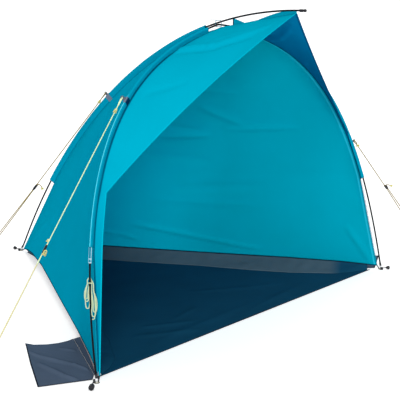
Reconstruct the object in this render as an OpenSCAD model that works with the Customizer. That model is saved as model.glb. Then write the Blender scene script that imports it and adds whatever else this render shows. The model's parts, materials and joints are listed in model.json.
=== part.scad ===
// Three-footed beach shelter: a spine pole and an arch pole cross at the hub and hold up
// two walls, a peaked visor and a sewn-in floor. Millimetres, +Z up, opening faces -Y.
// The origin is on the ground, in the middle of the floor.

/* [Shelter] */
// Distance between the two front feet
foot_span = 2000; // [1960:10:2040]
// Distance from the line of the front feet back to the rear foot
floor_depth = 1630; // [1610:5:1650]
// Height of the spine pole's front end
visor_height = 1400; // [1390:5:1410]
// Reach of the spine pole's front end beyond the front feet
visor_reach = 235; // [225:5:245]

/* [Poles] */
// Diameter of a fibreglass pole section
pole_d = 7.9; // [7:0.1:8.5]
// Length of the section at each end of a pole
end_section = 612; // [600:2:620]
// Length of the steel sleeve over each joint between sections
ferrule_len = 60; // [50:5:70]

/* [Fabric] */
// Thickness of a fabric panel
cloth = 2; // [1.6:0.1:2.2]
// Distance from the arch pole's centre to the seam beside it
arch_gap = 17; // [15:1:19]
// Distance from the spine pole's centre to the seam below it
spine_gap = 25; // [23:1:27]
// Width of the hem strip that runs down inside each front pole
strip_w = 34; // [30:1:36]
// Height of the visor's lower corners, measured along the arch's lean
corner_rise = 740; // [720:5:760]

/* [Ground flaps] */
// Length of a sand flap along the wall
flap_len = 484; // [460:2:500]
// Width of a sand flap
flap_w = 232; // [210:2:240]
// Angle to which a sand flap is shown folded up
flap_lift = 0; // [0:5:70]

/* [Guy lines] */
// Diameter of a guy line
cord_d = 2.6; // [2.4:0.1:3]
// Length of a line runner
runner_len = 38; // [34:1:42]

/* [Hidden] */

// Places on the ground
front_y = -600;
rear_y = front_y + floor_depth;
half_span = foot_span / 2;

// ---- Small helpers ---------------------------------------------------------------
function mix(a, b, u) = a + (b - a) * u;
function unit(v) = v / norm(v);
function bezier(p, t) =
    len(p) == 1 ? p[0] : bezier([for (i = [0:len(p) - 2]) mix(p[i], p[i + 1], t)], t);
function hump(u) = 4 * u * (1 - u);
function running_length(p, i = 0, sum = 0) =
    i == len(p) - 1 ? [sum] : concat([sum], running_length(p, i + 1, sum + norm(p[i + 1] - p[i])));
// A path kept as three look-up tables, so that a point is found by its distance along it
function measured(p) =
    let (s = running_length(p)) [for (k = [0:2]) [for (i = [0:len(p) - 1]) [s[i], p[i][k]]]];
function length_of(m) = m[0][len(m[0]) - 1][0];
function at(m, s) = [for (k = [0:2]) lookup(s, m[k])];
function heading(m, s) =
    let (e = 4) unit(at(m, min(s + e, length_of(m))) - at(m, max(s - e, 0)));
function mirrored(v) = [-v[0], v[1], v[2]];

// ---- Pole curves -----------------------------------------------------------------
// The spine leaves the rear foot almost straight and flattens out over the visor.
spine_control = [
    [0, rear_y, 0],
    [0, rear_y - 40, 60],
    [0, rear_y - 30, 0],
    [0, rear_y - 530, visor_height - 50],
    [0, front_y - visor_reach, visor_height]
];
hub_share = 0.903;
hub = bezier(spine_control, hub_share);
spine_path = measured([for (i = [0:60]) bezier(spine_control, i / 60)]);
spine_len = length_of(spine_path);

// The arch passes just under the spine and leans back with its feet on the front line. It
// comes to a slight peak where the strap holds it down.
crossing_drop = pole_d + 0.6;
apex = hub - [0, 0, crossing_drop];
lean_dir = unit([0, apex[1] - front_y, apex[2]]);
arch_face = [0, -lean_dir[2], lean_dir[1]];
foot_angle = 88;
foot_handle = 1000;
hub_handle = 520;
hub_slope = 80;
function arch_control(side) =
    let (foot = [side * half_span, front_y, 0])
    [foot,
     foot + foot_handle * (sin(foot_angle) * lean_dir - [side * cos(foot_angle), 0, 0]),
     apex + [side * hub_handle, 0, -hub_slope],
     apex];
arch_half = [for (i = [0:48]) bezier(arch_control(-1), i / 48)];
arch_path = measured(concat(arch_half, [for (i = [47:-1:0]) mirrored(arch_half[i])]));
arch_len = length_of(arch_path);
arch_mid = arch_len / 2;

// Directions square to each pole, pointing into the shelter
function arch_in(s) = unit(cross(heading(arch_path, s), arch_face));
function spine_in(s) = unit(cross([1, 0, 0], heading(spine_path, s)));

// ---- Feet and fabric corners -----------------------------------------------------
tip_len = 24;
left_foot = [-half_span, front_y, 0];
rear_foot = [0, rear_y, 0];
left_out = unit([-0.81, -0.58, 0]);
rear_out = [0, 1, 0];
front_corner = left_foot + [18, 10, 20];
rear_corner = rear_foot + [0, -22, 10];
// The line from a front foot to the rear foot, and the way out across it
chord = unit(rear_foot - left_foot);
chord_out = [-chord[1], chord[0], 0];
chord_len = norm(rear_foot - left_foot);

// ---- Seam lines ------------------------------------------------------------------
// Each seam runs straight from its fabric corner to the sleeve, and from there beside the pole.
corner_s = 24;
seam_start = 505;
seam_off = cloth / 2 + 0.3;
function beside_arch(s) = at(arch_path, s) + arch_gap * arch_in(s);
function beside_spine(s) = at(spine_path, s) + spine_gap * spine_in(s);
function arch_seam(s) =
    s > seam_start ? beside_arch(s)
    : mix(front_corner, beside_arch(seam_start), (s - corner_s) / (seam_start - corner_s));
function spine_seam(s) =
    s > seam_start ? beside_spine(s)
    : mix(rear_corner, beside_spine(seam_start), (s - corner_s) / (seam_start - corner_s));
s_hub = length_of(measured([for (i = [0:60]) bezier(spine_control, hub_share * i / 60)]));
seam_stop = 10;
// Between its corners the bottom seam is cut upwards and a little inwards.
bottom_rise = [[0, 0], [0.1, 14], [0.25, 24], [0.5, 32], [0.75, 43], [0.87, 44], [0.95, 24], [1, 0]];
bottom_bow = [[0, 0], [0.1, 8], [0.3, 14], [0.75, 19], [0.87, 9], [1, 0]];
function bottom_shift(u) = [0, 0, lookup(u, bottom_rise)] - lookup(u, bottom_bow) * chord_out;
function bottom_seam(u) = mix(front_corner, rear_corner, u) + bottom_shift(u);

// ---- Builders --------------------------------------------------------------------
// A flat outline is carried along a path. Its first axis lies along ref, its second square
// to ref and to the path.
function ring(p, t, ref, outline) =
    let (a = unit(ref - (ref * t) * t), b = cross(t, a))
    [for (q = outline) p + q[0] * a + q[1] * b];
function path_heading(p, i) =
    unit((i == 0 ? p[1] : p[min(i + 1, len(p) - 1)]) - (i == 0 ? p[0] : p[i - 1]));
function rings_along(path, ref, outline) =
    [for (i = [0:len(path) - 1]) ring(path[i], path_heading(path, i), ref, outline)];
// Skin a row of rings, each with the same number of points, and close both ends
module loft(rings) {
    n = len(rings[0]);
    m = len(rings);
    end = (m - 1) * n;
    sides = [for (i = [0:m - 2], j = [0:n - 1])
        let (a = i * n + j, b = i * n + (j + 1) % n)
        each [[a, a + n, b], [b, a + n, b + n]]];
    first = [for (j = [1:n - 2]) [0, j, j + 1]];
    last = [for (j = [1:n - 2]) [end, end + j + 1, end + j]];
    polyhedron([for (r = rings) each r], concat(sides, first, last), convexity = 6);
}
// A tube whose inner and outer rings match point for point
module loft_hollow(outer, inner) {
    n = len(outer[0]);
    m = len(outer);
    half = m * n;
    walls = [for (i = [0:m - 2], j = [0:n - 1])
        let (a = i * n + j, b = i * n + (j + 1) % n)
        each [[a, a + n, b], [b, a + n, b + n],
              [half + a, half + b, half + a + n], [half + b, half + b + n, half + a + n]]];
    ends = [for (j = [0:n - 1])
        let (a = j, b = (j + 1) % n, o = (m - 1) * n)
        each [[a, b, half + a], [b, half + b, half + a],
              [o + a, half + o + a, o + b], [o + b, half + o + a, half + o + b]]];
    polyhedron([for (r = concat(outer, inner)) each r], concat(walls, ends), convexity = 8);
}
function circle_outline(r, n) = [for (i = [0:n - 1]) r * [cos(360 * i / n), sin(360 * i / n)]];
// A pole wrapped in cloth: round over the pole, drawn in to a flat tail at the seam. The
// outline's first axis runs across the sleeve, its second towards the seam.
function teardrop(half, top, tail, tail_half) =
    concat([for (a = [-112:28:112]) [half * sin(a), -top * cos(a)]],
           [[tail_half, tail], [-tail_half, tail]]);

// Give a grid of points the thickness of a panel
function grid_normal(g, i, j) =
    let (i0 = max(i - 1, 0), i1 = min(i + 1, len(g) - 1),
         j0 = max(j - 1, 0), j1 = min(j + 1, len(g[0]) - 1))
    unit(cross(g[i1][j] - g[i0][j], g[i][j1] - g[i][j0]));
module panel(g, thick) {
    rows = len(g);
    cols = len(g[0]);
    half = rows * cols;
    skin = [for (side = [1, -1], i = [0:rows - 1], j = [0:cols - 1])
        g[i][j] + side * thick / 2 * grid_normal(g, i, j)];
    faces = [for (i = [0:rows - 2], j = [0:cols - 2])
        let (a = i * cols + j, b = a + 1, c = a + cols, d = c + 1)
        each [[a, b, c], [b, d, c], [half + a, half + c, half + b], [half + b, half + c, half + d]]];
    rim_i = [for (i = [0:rows - 2])
        let (a = i * cols, c = a + cols, b = a + cols - 1, d = c + cols - 1)
        each [[a, c, half + a], [c, half + c, half + a], [b, half + b, d], [d, half + b, half + d]]];
    rim_j = [for (j = [0:cols - 2])
        let (a = j, b = j + 1, c = (rows - 1) * cols + j, d = c + 1)
        each [[a, half + a, b], [b, half + a, half + b], [c, d, half + c], [d, half + d, half + c]]];
    polyhedron(skin, concat(faces, rim_i, rim_j), convexity = 8);
}

// Put a child at a point with its +Z along a direction and its +X as near as may be to ref
module aim(p, dir, ref) {
    z = unit(dir);
    x = unit(ref - (ref * z) * z);
    y = cross(z, x);
    multmatrix([
        [x[0], y[0], z[0], p[0]],
        [x[1], y[1], z[1], p[1]],
        [x[2], y[2], z[2], p[2]],
        [0, 0, 0, 1]]) children();
}
module on_right() {
    mirror([1, 0, 0]) children();
}

// ---- Pole sections and their ferrules --------------------------------------------
pole_black = [0.07, 0.07, 0.08];
pole_sides = 10;
joint_gap = 0.3;
pole_steps = 10;
// Distance to a pole's joint i: sections of a set length at both ends, equal ones between
function joint_at(m, i, count) =
    i == 0 ? 0
    : i == count ? length_of(m)
    : end_section + (length_of(m) - 2 * end_section) * (i - 1) / (count - 2);
module pole_section(m, ref, index, count, end_cut) {
    s0 = joint_at(m, index - 1, count) + (index == 1 ? tip_len : joint_gap);
    s1 = joint_at(m, index, count) - (index == count ? end_cut : joint_gap);
    path = [for (i = [0:pole_steps]) at(m, mix(s0, s1, i / pole_steps))];
    color(pole_black) loft(rings_along(path, ref, circle_outline(pole_d / 2, pole_sides)));
}
ferrule_wall = 0.8;
ferrule_grip = 0.3;
module ferrules(m, count) {
    color([0.62, 0.63, 0.65])
        for (i = [1:count - 1]) {
            s = joint_at(m, i, count);
            aim(at(m, s), heading(m, s), [0.3, 0.5, 0.2])
                difference() {
                    cylinder(h = ferrule_len, r = pole_d / 2 + ferrule_wall, center = true, $fn = 28);
                    cylinder(h = ferrule_len + 1, r = pole_d / 2 - ferrule_grip, center = true, $fn = 28);
                }
        }
}
// Metal end: a socket on the pole, a collar and a pin with a ball that stands on the ground
module foot_tip(p, dir) {
    pin_r = 2.6;
    color([0.82, 0.83, 0.85])
        aim(p + [0, 0, pin_r], dir, [1, 0.2, 0])
            union() {
                sphere(r = pin_r, $fn = 24);
                cylinder(h = 8, r = pin_r, $fn = 24);
                translate([0, 0, 6])
                    rotate_extrude($fn = 28)
                        polygon([[0, 0], [4, 0], [5.4, 1.4], [5.4, 19], [4.9, 26], [0, 26]]);
            }
}

// ---- Foot parts ------------------------------------------------------------------
web_w = 22;
web_thick = 1.8;
web_end_w = 13;
eyelet_bore = 5.4;
eyelet_body = 7.5;
peg_side = 11.4;
peg_height = 9.2;
peg_r = 2;
loop_r = 2.3;
module at_foot(p, out) {
    aim(p, [0, 0, 1], out) children();
}
// Webbing at a foot: a disc with a hole for the eyelet, a tongue that climbs to the fabric
// corner and a keeper for the peg. The peg lies on the side given by its sign.
module corner_tab(p, out, corner, side) {
    c = corner - p;
    end = [c * out, c * cross([0, 0, 1], out), c[2]];
    keeper = side * peg_side;
    color([0.13, 0.16, 0.2])
        at_foot(p, out) {
            translate([0, 0, 0.1])
                linear_extrude(web_thick)
                    difference() {
                        union() {
                            circle(r = web_w / 2, $fn = 40);
                            translate([-7, min(0, keeper + 3.4 * side)])
                                square([14, peg_side + 3.4]);
                        }
                        circle(r = eyelet_body - 0.2, $fn = 40);
                    }
            hull() {
                translate([-web_w / 2 + 0.5, -web_end_w / 2, 0.1]) cube([2, web_end_w, web_thick]);
                translate(end - [web_thick / 2, web_end_w / 2, web_thick])
                    cube([web_thick, web_end_w, 2 * web_thick]);
            }
            difference() {
                translate([-6, keeper - 3.4, web_thick])
                    cube([12, 6.8, peg_height + loop_r + 1.2 - web_thick]);
                translate([-8, keeper, peg_height])
                    rotate([0, 90, 0]) cylinder(h = 16, r = loop_r, $fn = 24);
            }
        }
}
module left_corner_tab(side) {
    corner_tab(left_foot, left_out, front_corner, side);
}
module eyelet(p, out) {
    color([0.72, 0.7, 0.62])
        at_foot(p, out)
            rotate_extrude($fn = 40)
                polygon([[eyelet_bore, 0.3], [eyelet_body, 0.3], [eyelet_body, 1.7], [9.6, 1.7],
                         [9.2, 2.8], [6.2, 3], [eyelet_bore, 2.5]]);
}
// The left peg stands farther out of its keeper than the other two.
short_reach = 22;
long_reach = 72;
peg_back = 14;
peg_tip = 6;
head_lap = 9;
module peg(p, out, side, reach) {
    color([0.75, 0.76, 0.78])
        at_foot(p, out)
            translate([-peg_back, side * peg_side, peg_height])
                rotate([0, 90, 0]) {
                    translate([0, 0, peg_tip])
                        cylinder(h = peg_back + reach + head_lap - peg_tip, r = peg_r, $fn = 20);
                    cylinder(h = peg_tip, r1 = 0.6, r2 = peg_r, $fn = 20);
                }
}
module peg_head(p, out, side, reach) {
    color([0.09, 0.09, 0.1])
        at_foot(p, out)
            translate([reach, side * peg_side, peg_height])
                rotate([0, 90, 0])
                    rotate_extrude($fn = 32)
                        polygon([[0, 0], [4.2, 0], [4.8, 2], [7.4, 6], [9, 14], [9, 17],
                                 [7.6, 18.5], [5, 17.5], [0, 16.5]]);
}

// ---- Sleeves ---------------------------------------------------------------------
sleeve_teal = [0, 0.55, 0.68];
sleeve_wall = 1.3;
sleeve_half = 8.2;
spine_sleeve_top = 9.4;
tail_lap = 3;
left_sleeve = [538, arch_mid - 18];
right_sleeve = [arch_mid + 114, arch_len - 490];
rear_sleeve = [502, s_hub - 79];
// A sleeve round a pole from span[0] to span[1] along it; top is its height over the pole
module sleeve(m, ref, span, half, top, tail, steps) {
    path = [for (i = [0:steps]) at(m, mix(span[0], span[1], i / steps))];
    color(sleeve_teal)
        loft_hollow(
            rings_along(path, ref, teardrop(half, top, tail, 1.6)),
            rings_along(path, ref, teardrop(half - sleeve_wall, top - sleeve_wall, tail - 6, 0.4)));
}
module arch_sleeve_left() {
    sleeve(arch_path, arch_face, left_sleeve, sleeve_half, sleeve_half, arch_gap + tail_lap, 34);
}
module arch_sleeve_right() {
    sleeve(arch_path, arch_face, right_sleeve, sleeve_half, sleeve_half, arch_gap + tail_lap, 32);
}
module spine_sleeve() {
    sleeve(spine_path, [-1, 0, 0], rear_sleeve, sleeve_half, spine_sleeve_top,
           spine_gap + tail_lap, 34);
}
// Ladder-shaped fitting where the left sleeve's lower end closes on the pole
cuff_len = 62;
cuff_r = 6.6;
module sleeve_cuff() {
    start = left_sleeve[0] - 1.5 - cuff_len;
    color([0.72, 0.86, 0.93])
        aim(at(arch_path, start), heading(arch_path, start + cuff_len / 2), arch_face)
            difference() {
                cylinder(h = cuff_len, r = cuff_r, $fn = 32);
                translate([0, 0, -1]) cylinder(h = cuff_len + 2, r = cuff_r - 1.8, $fn = 32);
                for (k = [0:3])
                    translate([-8, -2.6, 4 + 14.5 * k]) cube([16, 5.2, 11]);
            }
}

// ---- Walls -----------------------------------------------------------------------
wall_rows = 14;
wall_cols = 12;
wall_sag = 10;
wall_inward = unit([0.8, -0.35, -0.4]);
function wall_arch_edge(v) =
    arch_seam(mix(corner_s, arch_mid - seam_stop, v)) - seam_off * arch_face;
function wall_spine_edge(v) =
    spine_seam(mix(corner_s, s_hub - seam_stop, v)) - [seam_off, 0, 0];
function wall_point(u, v) =
    mix(wall_arch_edge(v), wall_spine_edge(v), u)
    + (1 - v) * bottom_shift(u)
    + wall_sag * hump(u) * hump(v) * wall_inward;
wall_grid =
    [for (i = [0:wall_rows]) [for (j = [0:wall_cols]) wall_point(j / wall_cols, i / wall_rows)]];
function flipped(g) = [for (row = g) [for (p = row) mirrored(p)]];
wall_teal = [0, 0.6, 0.74];
module left_wall() {
    color(wall_teal) panel(wall_grid, cloth);
}
module right_wall() {
    color(wall_teal) panel(flipped(wall_grid), cloth);
}

// ---- Visor -----------------------------------------------------------------------
// Distance along the arch for a height along its lean
rise_table = [for (i = [0:48]) [(arch_half[i] - left_foot) * lean_dir, arch_path[0][i][0]]];
s_corner = lookup(corner_rise, rise_table);
visor_corner = beside_arch(s_corner) + [14, -26, 0];
visor_tip = at(spine_path, spine_len - 42) + [0, 0, -11];
ridge_start = apex + [0, -12, -11];
visor_bow = [0, 23, 21];
// The strip's free edge: it widens steadily above the foot and is drawn to the visor's corner
// at its top
strip_dir = unit([0.76, -0.65, 0]);
strip_full = 500;
function strip_edge(s) =
    let (u = (s - corner_s) / (s_corner - corner_s),
         width = strip_w * min(1, mix(0.2, 1, (s - corner_s) / (strip_full - corner_s))))
    mix(arch_seam(s) + width * strip_dir, visor_corner, pow(u, 6));
function visor_edge(u) =
    mix(visor_corner, visor_tip - [seam_off, 0, 0], u) + hump(u) * visor_bow;
strip_rows = 10;
visor_rows = 14;
visor_cols = 7;
function visor_row(a, b) = [for (j = [0:visor_cols]) mix(a, b, j / visor_cols)];
visor_grid = concat(
    [for (i = [0:strip_rows])
        let (s = mix(corner_s, s_corner, i / strip_rows))
        visor_row(arch_seam(s) + seam_off * arch_face, strip_edge(s) + seam_off * arch_face)],
    [for (i = [1:visor_rows])
        let (u = i / visor_rows,
             top = ridge_start - [seam_off, 0, 0],
             s = mix(s_corner, arch_mid - seam_stop, u),
             a = mix(arch_seam(s) + seam_off * arch_face, top, pow(u, 16)))
        visor_row(a, visor_edge(u) + (1 - u) * seam_off * arch_face)]);
module visor_left() {
    color(wall_teal) panel(visor_grid, cloth);
}
module visor_right() {
    color(wall_teal) panel(flipped(visor_grid), cloth);
}
pocket_r = 6.2;
module tip_pocket() {
    sleeve(spine_path, [-1, 0, 0], [spine_len - 80, spine_len - 40], pocket_r, pocket_r, 12, 4);
}
// Black plug on the front end of the spine pole, with a groove
module visor_end_cap() {
    color(pole_black)
        aim(at(spine_path, spine_len), heading(spine_path, spine_len), [1, 0, 0])
            translate([0, 0, -26])
                rotate_extrude($fn = 28)
                    polygon([[4.2, 0], [6.2, 0], [6.2, 14], [5.2, 16], [5.2, 20], [6.2, 22],
                             [6.2, 30], [4.6, 32], [0, 32], [0, 26.4], [4.2, 26.4]]);
}

// ---- Crossing --------------------------------------------------------------------
strap_half = 12.4;
strap_w = 11;
strap_room = 4.6;
module strap_outline(grow) {
    high = crossing_drop / 2 + pole_d / 2 + strap_room + grow;
    low = -high;
    r = 2.5 + grow;
    half = strap_half + grow;
    for (x = [-1, 1], y = [low + r, high - r])
        translate([x * (half - r), y]) circle(r = r, $fn = 24);
    translate([-half, low + r]) square([2 * half, high - low - 2 * r]);
    translate([-half + r, low]) square([2 * half - 2 * r, high - low]);
}
module crossing_strap() {
    color([0, 0.38, 0.5])
        aim((hub + apex) / 2, [1, 1, 0], [1, -1, 0])
            linear_extrude(strap_w, center = true)
                difference() {
                    strap_outline(1.3);
                    strap_outline(0);
                }
}

// Grey lace from the spine sleeve's end over to the crossing
lace_route = [[0, -280, 1303], [0, -290, 1315], [-1, -322, 1327], [-2, -354, 1328]];
module crossing_cord() {
    color([0.5, 0.53, 0.55]) loft(rings_along(lace_route, [1, 0, 0], circle_outline(0.9, 8)));
}

// ---- Floor -----------------------------------------------------------------------
// The floor narrows behind the front corners; a sloped grey edge joins it to each wall.
function on_ground(h, out) = left_foot + h * chord + out * chord_out;
edge_start = 64;
floor_end = 1858;
floor_thick = 2;
// How far the floor's side lies inside the line between the feet, by the distance along it
floor_inset = [[64, 27], [140, 84], [226, 122], [450, 148], [650, 141], [920, 113],
               [1290, 104], [1600, 82], [1780, 46], [1858, 24]];
function floor_side(h) = on_ground(h, -lookup(h, floor_inset));
floor_h = [for (i = [0:20]) mix(edge_start, floor_end, i / 20)];
floor_front = left_foot + [42, 34, 0];
floor_left = concat([floor_front], [for (h = floor_h) floor_side(h)]);
function flat(v) = [v[0], v[1]];
module floor_sheet() {
    n = len(floor_left);
    outline = concat([for (v = floor_left) flat(v)],
                     [for (i = [n - 1:-1:0]) flat(mirrored(floor_left[i]))]);
    color([0.02, 0.16, 0.27]) linear_extrude(floor_thick) polygon(outline);
}
// The sloped edge laps the floor's side and ends just inside the wall's bottom seam.
edge_steps = 20;
edge_rows = 3;
edge_end = 1846;
edge_lap = 4;
edge_slack = 0.03;
seam_first = 18;
seam_rest = 19;
function edge_inner(h) = floor_side(h) - edge_lap * chord_out + [0, 0, floor_thick + 1.4];
function edge_outer(h) =
    bottom_seam(max(0, (h - seam_first) / (chord_len - seam_first - seam_rest)))
    + [2.4, -1.2, -1.5];
function edge_point(h, v) =
    let (a = edge_inner(h), b = edge_outer(h))
    mix(a, b, v) - [0, 0, edge_slack * v * hump(v) * norm(b - a)];
edge_grid = [for (i = [0:edge_steps])
    let (h = mix(edge_start + 4, edge_end, i / edge_steps))
    [for (j = [0:edge_rows]) edge_point(h, j / edge_rows)]];
edge_cloth = 1.8;
edge_grey = [0.26, 0.32, 0.36];
module floor_edge_left() {
    color(edge_grey) panel(edge_grid, edge_cloth);
}
module floor_edge_right() {
    color(edge_grey) panel(flipped(edge_grid), edge_cloth);
}

// ---- Sand flaps ------------------------------------------------------------------
flap_axis_out = -6;
// The strip outside the wall's bottom seam that joins the flap to it
skirt_from = 60;
skirt_to = 508;
skirt_steps = 8;
skirt_gap = 3.8;
skirt_grid = [for (i = [0:skirt_steps])
    let (h = mix(skirt_from, skirt_to, i / skirt_steps),
         a = bottom_seam((h - seam_first) / (chord_len - seam_first - seam_rest))
             + skirt_gap * chord_out + [0, 0, 2],
         b = on_ground(h, flap_axis_out - 1.9) + [0, 0, 1.2])
    [for (j = [0:2]) mix(a, b, j / 2)]];
module flap_skirts() {
    color(edge_grey) {
        panel(skirt_grid, cloth);
        panel(flipped(skirt_grid), cloth);
    }
}
module sand_flap() {
    l = flap_len;
    w = flap_w;
    a = flap_axis_out;
    outline = [[80, a], [32, 11], [20, w], [270, w - 12], [28 + l, w - 30], [l, w - 62],
               [l - 13, w - 118], [l - 10, 64], [l + 3, 24], [l + 22, a]];
    color([0.27, 0.33, 0.4])
        aim(on_ground(0, 0), [0, 0, 1], chord)
            translate([0, flap_axis_out, 1.3])
                rotate([flap_lift, 0, 0])
                    translate([0, -flap_axis_out, -1])
                        linear_extrude(2) polygon(outline);
}

// ---- Guy lines -------------------------------------------------------------------
cord_yellow = [0.88, 0.9, 0.68];
left_tab_s = 1171;
right_tab_s = arch_len - 684;
rear_tab_s = 1153;
// Each line's route: a loop through its tab, the knot, straight down through the runner,
// round the ground loop and back up to the runner's second hole.
left_route = [
    [-643, -381, 1035], [-639, -381, 1042], [-633, -385, 1057], [-630, -388, 1065],
    [-630, -392, 1068], [-631, -394, 1069], [-633, -397, 1068], [-636, -397, 1064],
    [-639, -394, 1056], [-644, -389, 1042], [-645, -384, 1035], [-645, -381, 1032],
    [-646, -381, 1030], [-648, -379, 1025], [-649, -378, 1022], [-886, -165, 415],
    [-965, -101, 220], [-1045, -37, 26], [-1049, -32, 14], [-1048, -26, 7], [-1045, -21, 5],
    [-1040, -17, 7], [-1035, -16, 14], [-1029, -19, 26], [-955, -89, 220], [-883, -158, 410],
    [-879, -162, 421]
];
right_route = [
    [934, -472, 645], [928, -476, 649], [915, -480, 658], [908, -481, 663], [904, -480, 666],
    [903, -477, 668], [903, -474, 667], [907, -471, 665], [914, -469, 660], [926, -467, 650],
    [933, -468, 645], [936, -469, 643], [938, -469, 642], [942, -468, 639], [945, -467, 637],
    [1394, -362, 310], [1627, -301, 140], [1791, -257, 20], [1802, -256, 12], [1809, -259, 7],
    [1812, -264, 6], [1812, -271, 7], [1807, -277, 12], [1797, -280, 20], [1631, -317, 140],
    [1401, -368, 307], [1391, -370, 314]
];
rear_route = [
    [-7, 375, 899], [-4, 370, 906], [-2, 359, 918], [-1, 353, 924], [-3, 350, 927],
    [-6, 348, 928], [-9, 348, 926], [-11, 351, 923], [-12, 356, 916], [-12, 368, 904],
    [-10, 374, 899], [-9, 376, 897], [-9, 378, 895], [-9, 381, 891], [-9, 384, 888],
    [-53, 858, 368], [-74, 1019, 192], [-94, 1172, 23], [-93, 1181, 13], [-89, 1187, 7],
    [-83, 1189, 6], [-77, 1188, 7], [-72, 1183, 13], [-70, 1175, 23], [-58, 1020, 192],
    [-46, 863, 364], [-45, 855, 373]
];
// Free end of each line, from inside its runner to a stop knot
left_tail_route = [
    [-873, -167, 436], [-869, -170, 444], [-864, -175, 458], [-858, -175, 464],
    [-850, -173, 471], [-844, -167, 473], [-841, -160, 470], [-841, -157, 468],
    [-841, -154, 465], [-841, -152, 462]
];
right_tail_route = [
    [1378, -373, 323], [1370, -375, 329], [1357, -378, 338], [1352, -383, 342],
    [1346, -392, 346], [1347, -400, 347], [1352, -406, 345], [1355, -408, 344],
    [1358, -409, 343], [1361, -410, 341]
];
rear_tail_route = [
    [-44, 843, 385], [-44, 837, 393], [-44, 826, 404], [-46, 816, 406], [-47, 806, 405],
    [-44, 799, 399], [-41, 798, 392], [-40, 798, 390], [-39, 798, 387], [-38, 798, 385]
];
// A line's straight stretch runs from straight_top to straight_end, with its knot just above.
knot_from = 11;
knot_to = 13;
straight_top = 14;
straight_end = 15;
ground_loop = 20;
tab_root = 7;
tab_reach = 14;
tab_thick = 1.8;
tab_half = 7;
tab_hole_r = 3.4;
// A tab stands out from its sleeve and is twisted in line with the pull. up is the way it
// points from the pole at p.
module guy_tab(p, up, route) {
    q = unit(up);
    d = unit(route[ground_loop] - p);
    along = unit(d - (d * q) * q);
    c = [0, tab_root + tab_reach];
    color([0.32, 0.36, 0.42])
        aim(p, cross(along, q), along)
            linear_extrude(tab_thick, center = true)
                difference() {
                    union() {
                        translate([-tab_half, tab_root]) square([2 * tab_half, tab_reach]);
                        translate(c) circle(r = tab_half, $fn = 32);
                    }
                    translate(c) circle(r = tab_hole_r, $fn = 28);
                }
}
module guy_tab_left() {
    s = left_tab_s;
    guy_tab(at(arch_path, s), -arch_in(s) - 0.3 * arch_face, left_route);
}
module guy_tab_right() {
    s = right_tab_s;
    guy_tab(at(arch_path, s), -arch_in(s), right_route);
}
module guy_tab_rear() {
    s = rear_tab_s;
    guy_tab(at(spine_path, s), -spine_in(s) - [0.3, 0, 0], rear_route);
}

// A round cord with its own radius at every point, which makes a knot a swelling
cord_ref = [0.31, 0.52, 0.4];
cord_sides = 8;
module cord(path, radii) {
    loft([for (i = [0:len(path) - 1])
        ring(path[i], path_heading(path, i), cord_ref, circle_outline(radii[i], cord_sides))]);
}
strand_gap = 7;
function line_dir(route) = unit(route[straight_end] - route[straight_top]);
function line_across(route) = unit(cross(line_dir(route), [0, 0, 1]));
function knot_radii(route, a, b, grow) =
    [for (i = [0:len(route) - 1])
        cord_d / 2 + (i == a || i == b ? grow / 3 : i > a && i < b ? grow : 0)];
module guy_line(route) {
    color(cord_yellow) cord(route, knot_radii(route, knot_from, knot_to + 1, 2));
}
// Free end of a line: it leaves the runner upwards and ends in a stop knot
module line_tail(route) {
    color(cord_yellow) cord(route, knot_radii(route, 6, 9, 1.4));
}
runner_r = 4.2;
runner_bore_r = cord_d / 2 + 0.45;
runner_above_end = 8;
grip_w = 2.4;
grip_rise = 0.9;
module runner_outline(r) {
    circle(r = r, $fn = 28);
    translate([strand_gap, 0]) circle(r = r, $fn = 28);
    translate([0, -r]) square([strand_gap, 2 * r]);
}
// Two-hole runner with a raised grip, just above the end of the straight stretch
module runner(route) {
    foot = route[straight_end] - (runner_len + runner_above_end) * line_dir(route);
    color([0.1, 0.12, 0.13])
        aim(foot, line_dir(route), line_across(route))
            difference() {
                union() {
                    linear_extrude(runner_len) runner_outline(runner_r);
                    for (k = [0.25, 0.5, 0.75])
                        translate([0, 0, runner_len * k])
                            linear_extrude(grip_w, center = true)
                                runner_outline(runner_r + grip_rise);
                }
                for (x = [0, strand_gap])
                    translate([x, 0, -1])
                        cylinder(h = runner_len + 2, r = runner_bore_r, $fn = 24);
            }
}

// ---- Spare cord tied to the left pole --------------------------------------------
hank_s = 345;
hank_thick = 9;
hank_strand = 5;
hank_side = unit([0.66, -0.75, 0]);
tie_up = 60;
tie_half = 14;
tie_r = 5.4;
tie_wall = 1.5;
// A hanging loop: narrow at the top, where it is tied, and widest below its middle
module hank_loop(length, half) {
    n = 20;
    function w(u) = half * sin(180 * pow(u, 1.25));
    rim = [for (i = [0:n]) let (u = i / n) [w(1 - u), -length * u]];
    outline = concat(rim, [for (i = [n - 1:-1:1]) [-rim[i][0], rim[i][1]]]);
    difference() {
        polygon(outline);
        offset(delta = -hank_strand) polygon(outline);
    }
}
// Places a child on the arch pole with its +Y along the pole
module at_pole(s) {
    t = heading(arch_path, s);
    aim(at(arch_path, s), cross(hank_side, t), hank_side) children();
}
module spare_cord_hank() {
    color(cord_yellow)
        at_pole(hank_s) {
            translate([-13.5, 78, -hank_thick / 2])
                rotate(-2) linear_extrude(hank_thick) hank_loop(137, 8.5);
            translate([14.5, 66, -hank_thick / 2])
                rotate(2) linear_extrude(hank_thick) hank_loop(156, 9.5);
        }
}
// A flat band round the pole and both loops
module tie_outline(grow) {
    hull()
        for (x = [-tie_half, tie_half])
            translate([x, 0]) circle(r = tie_r + grow, $fn = 24);
}
module hank_tie() {
    color(cord_yellow)
        at_pole(hank_s + tie_up)
            rotate([90, 0, 0])
                linear_extrude(10, center = true)
                    difference() {
                        tie_outline(tie_wall);
                        tie_outline(0);
                    }
}

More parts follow.
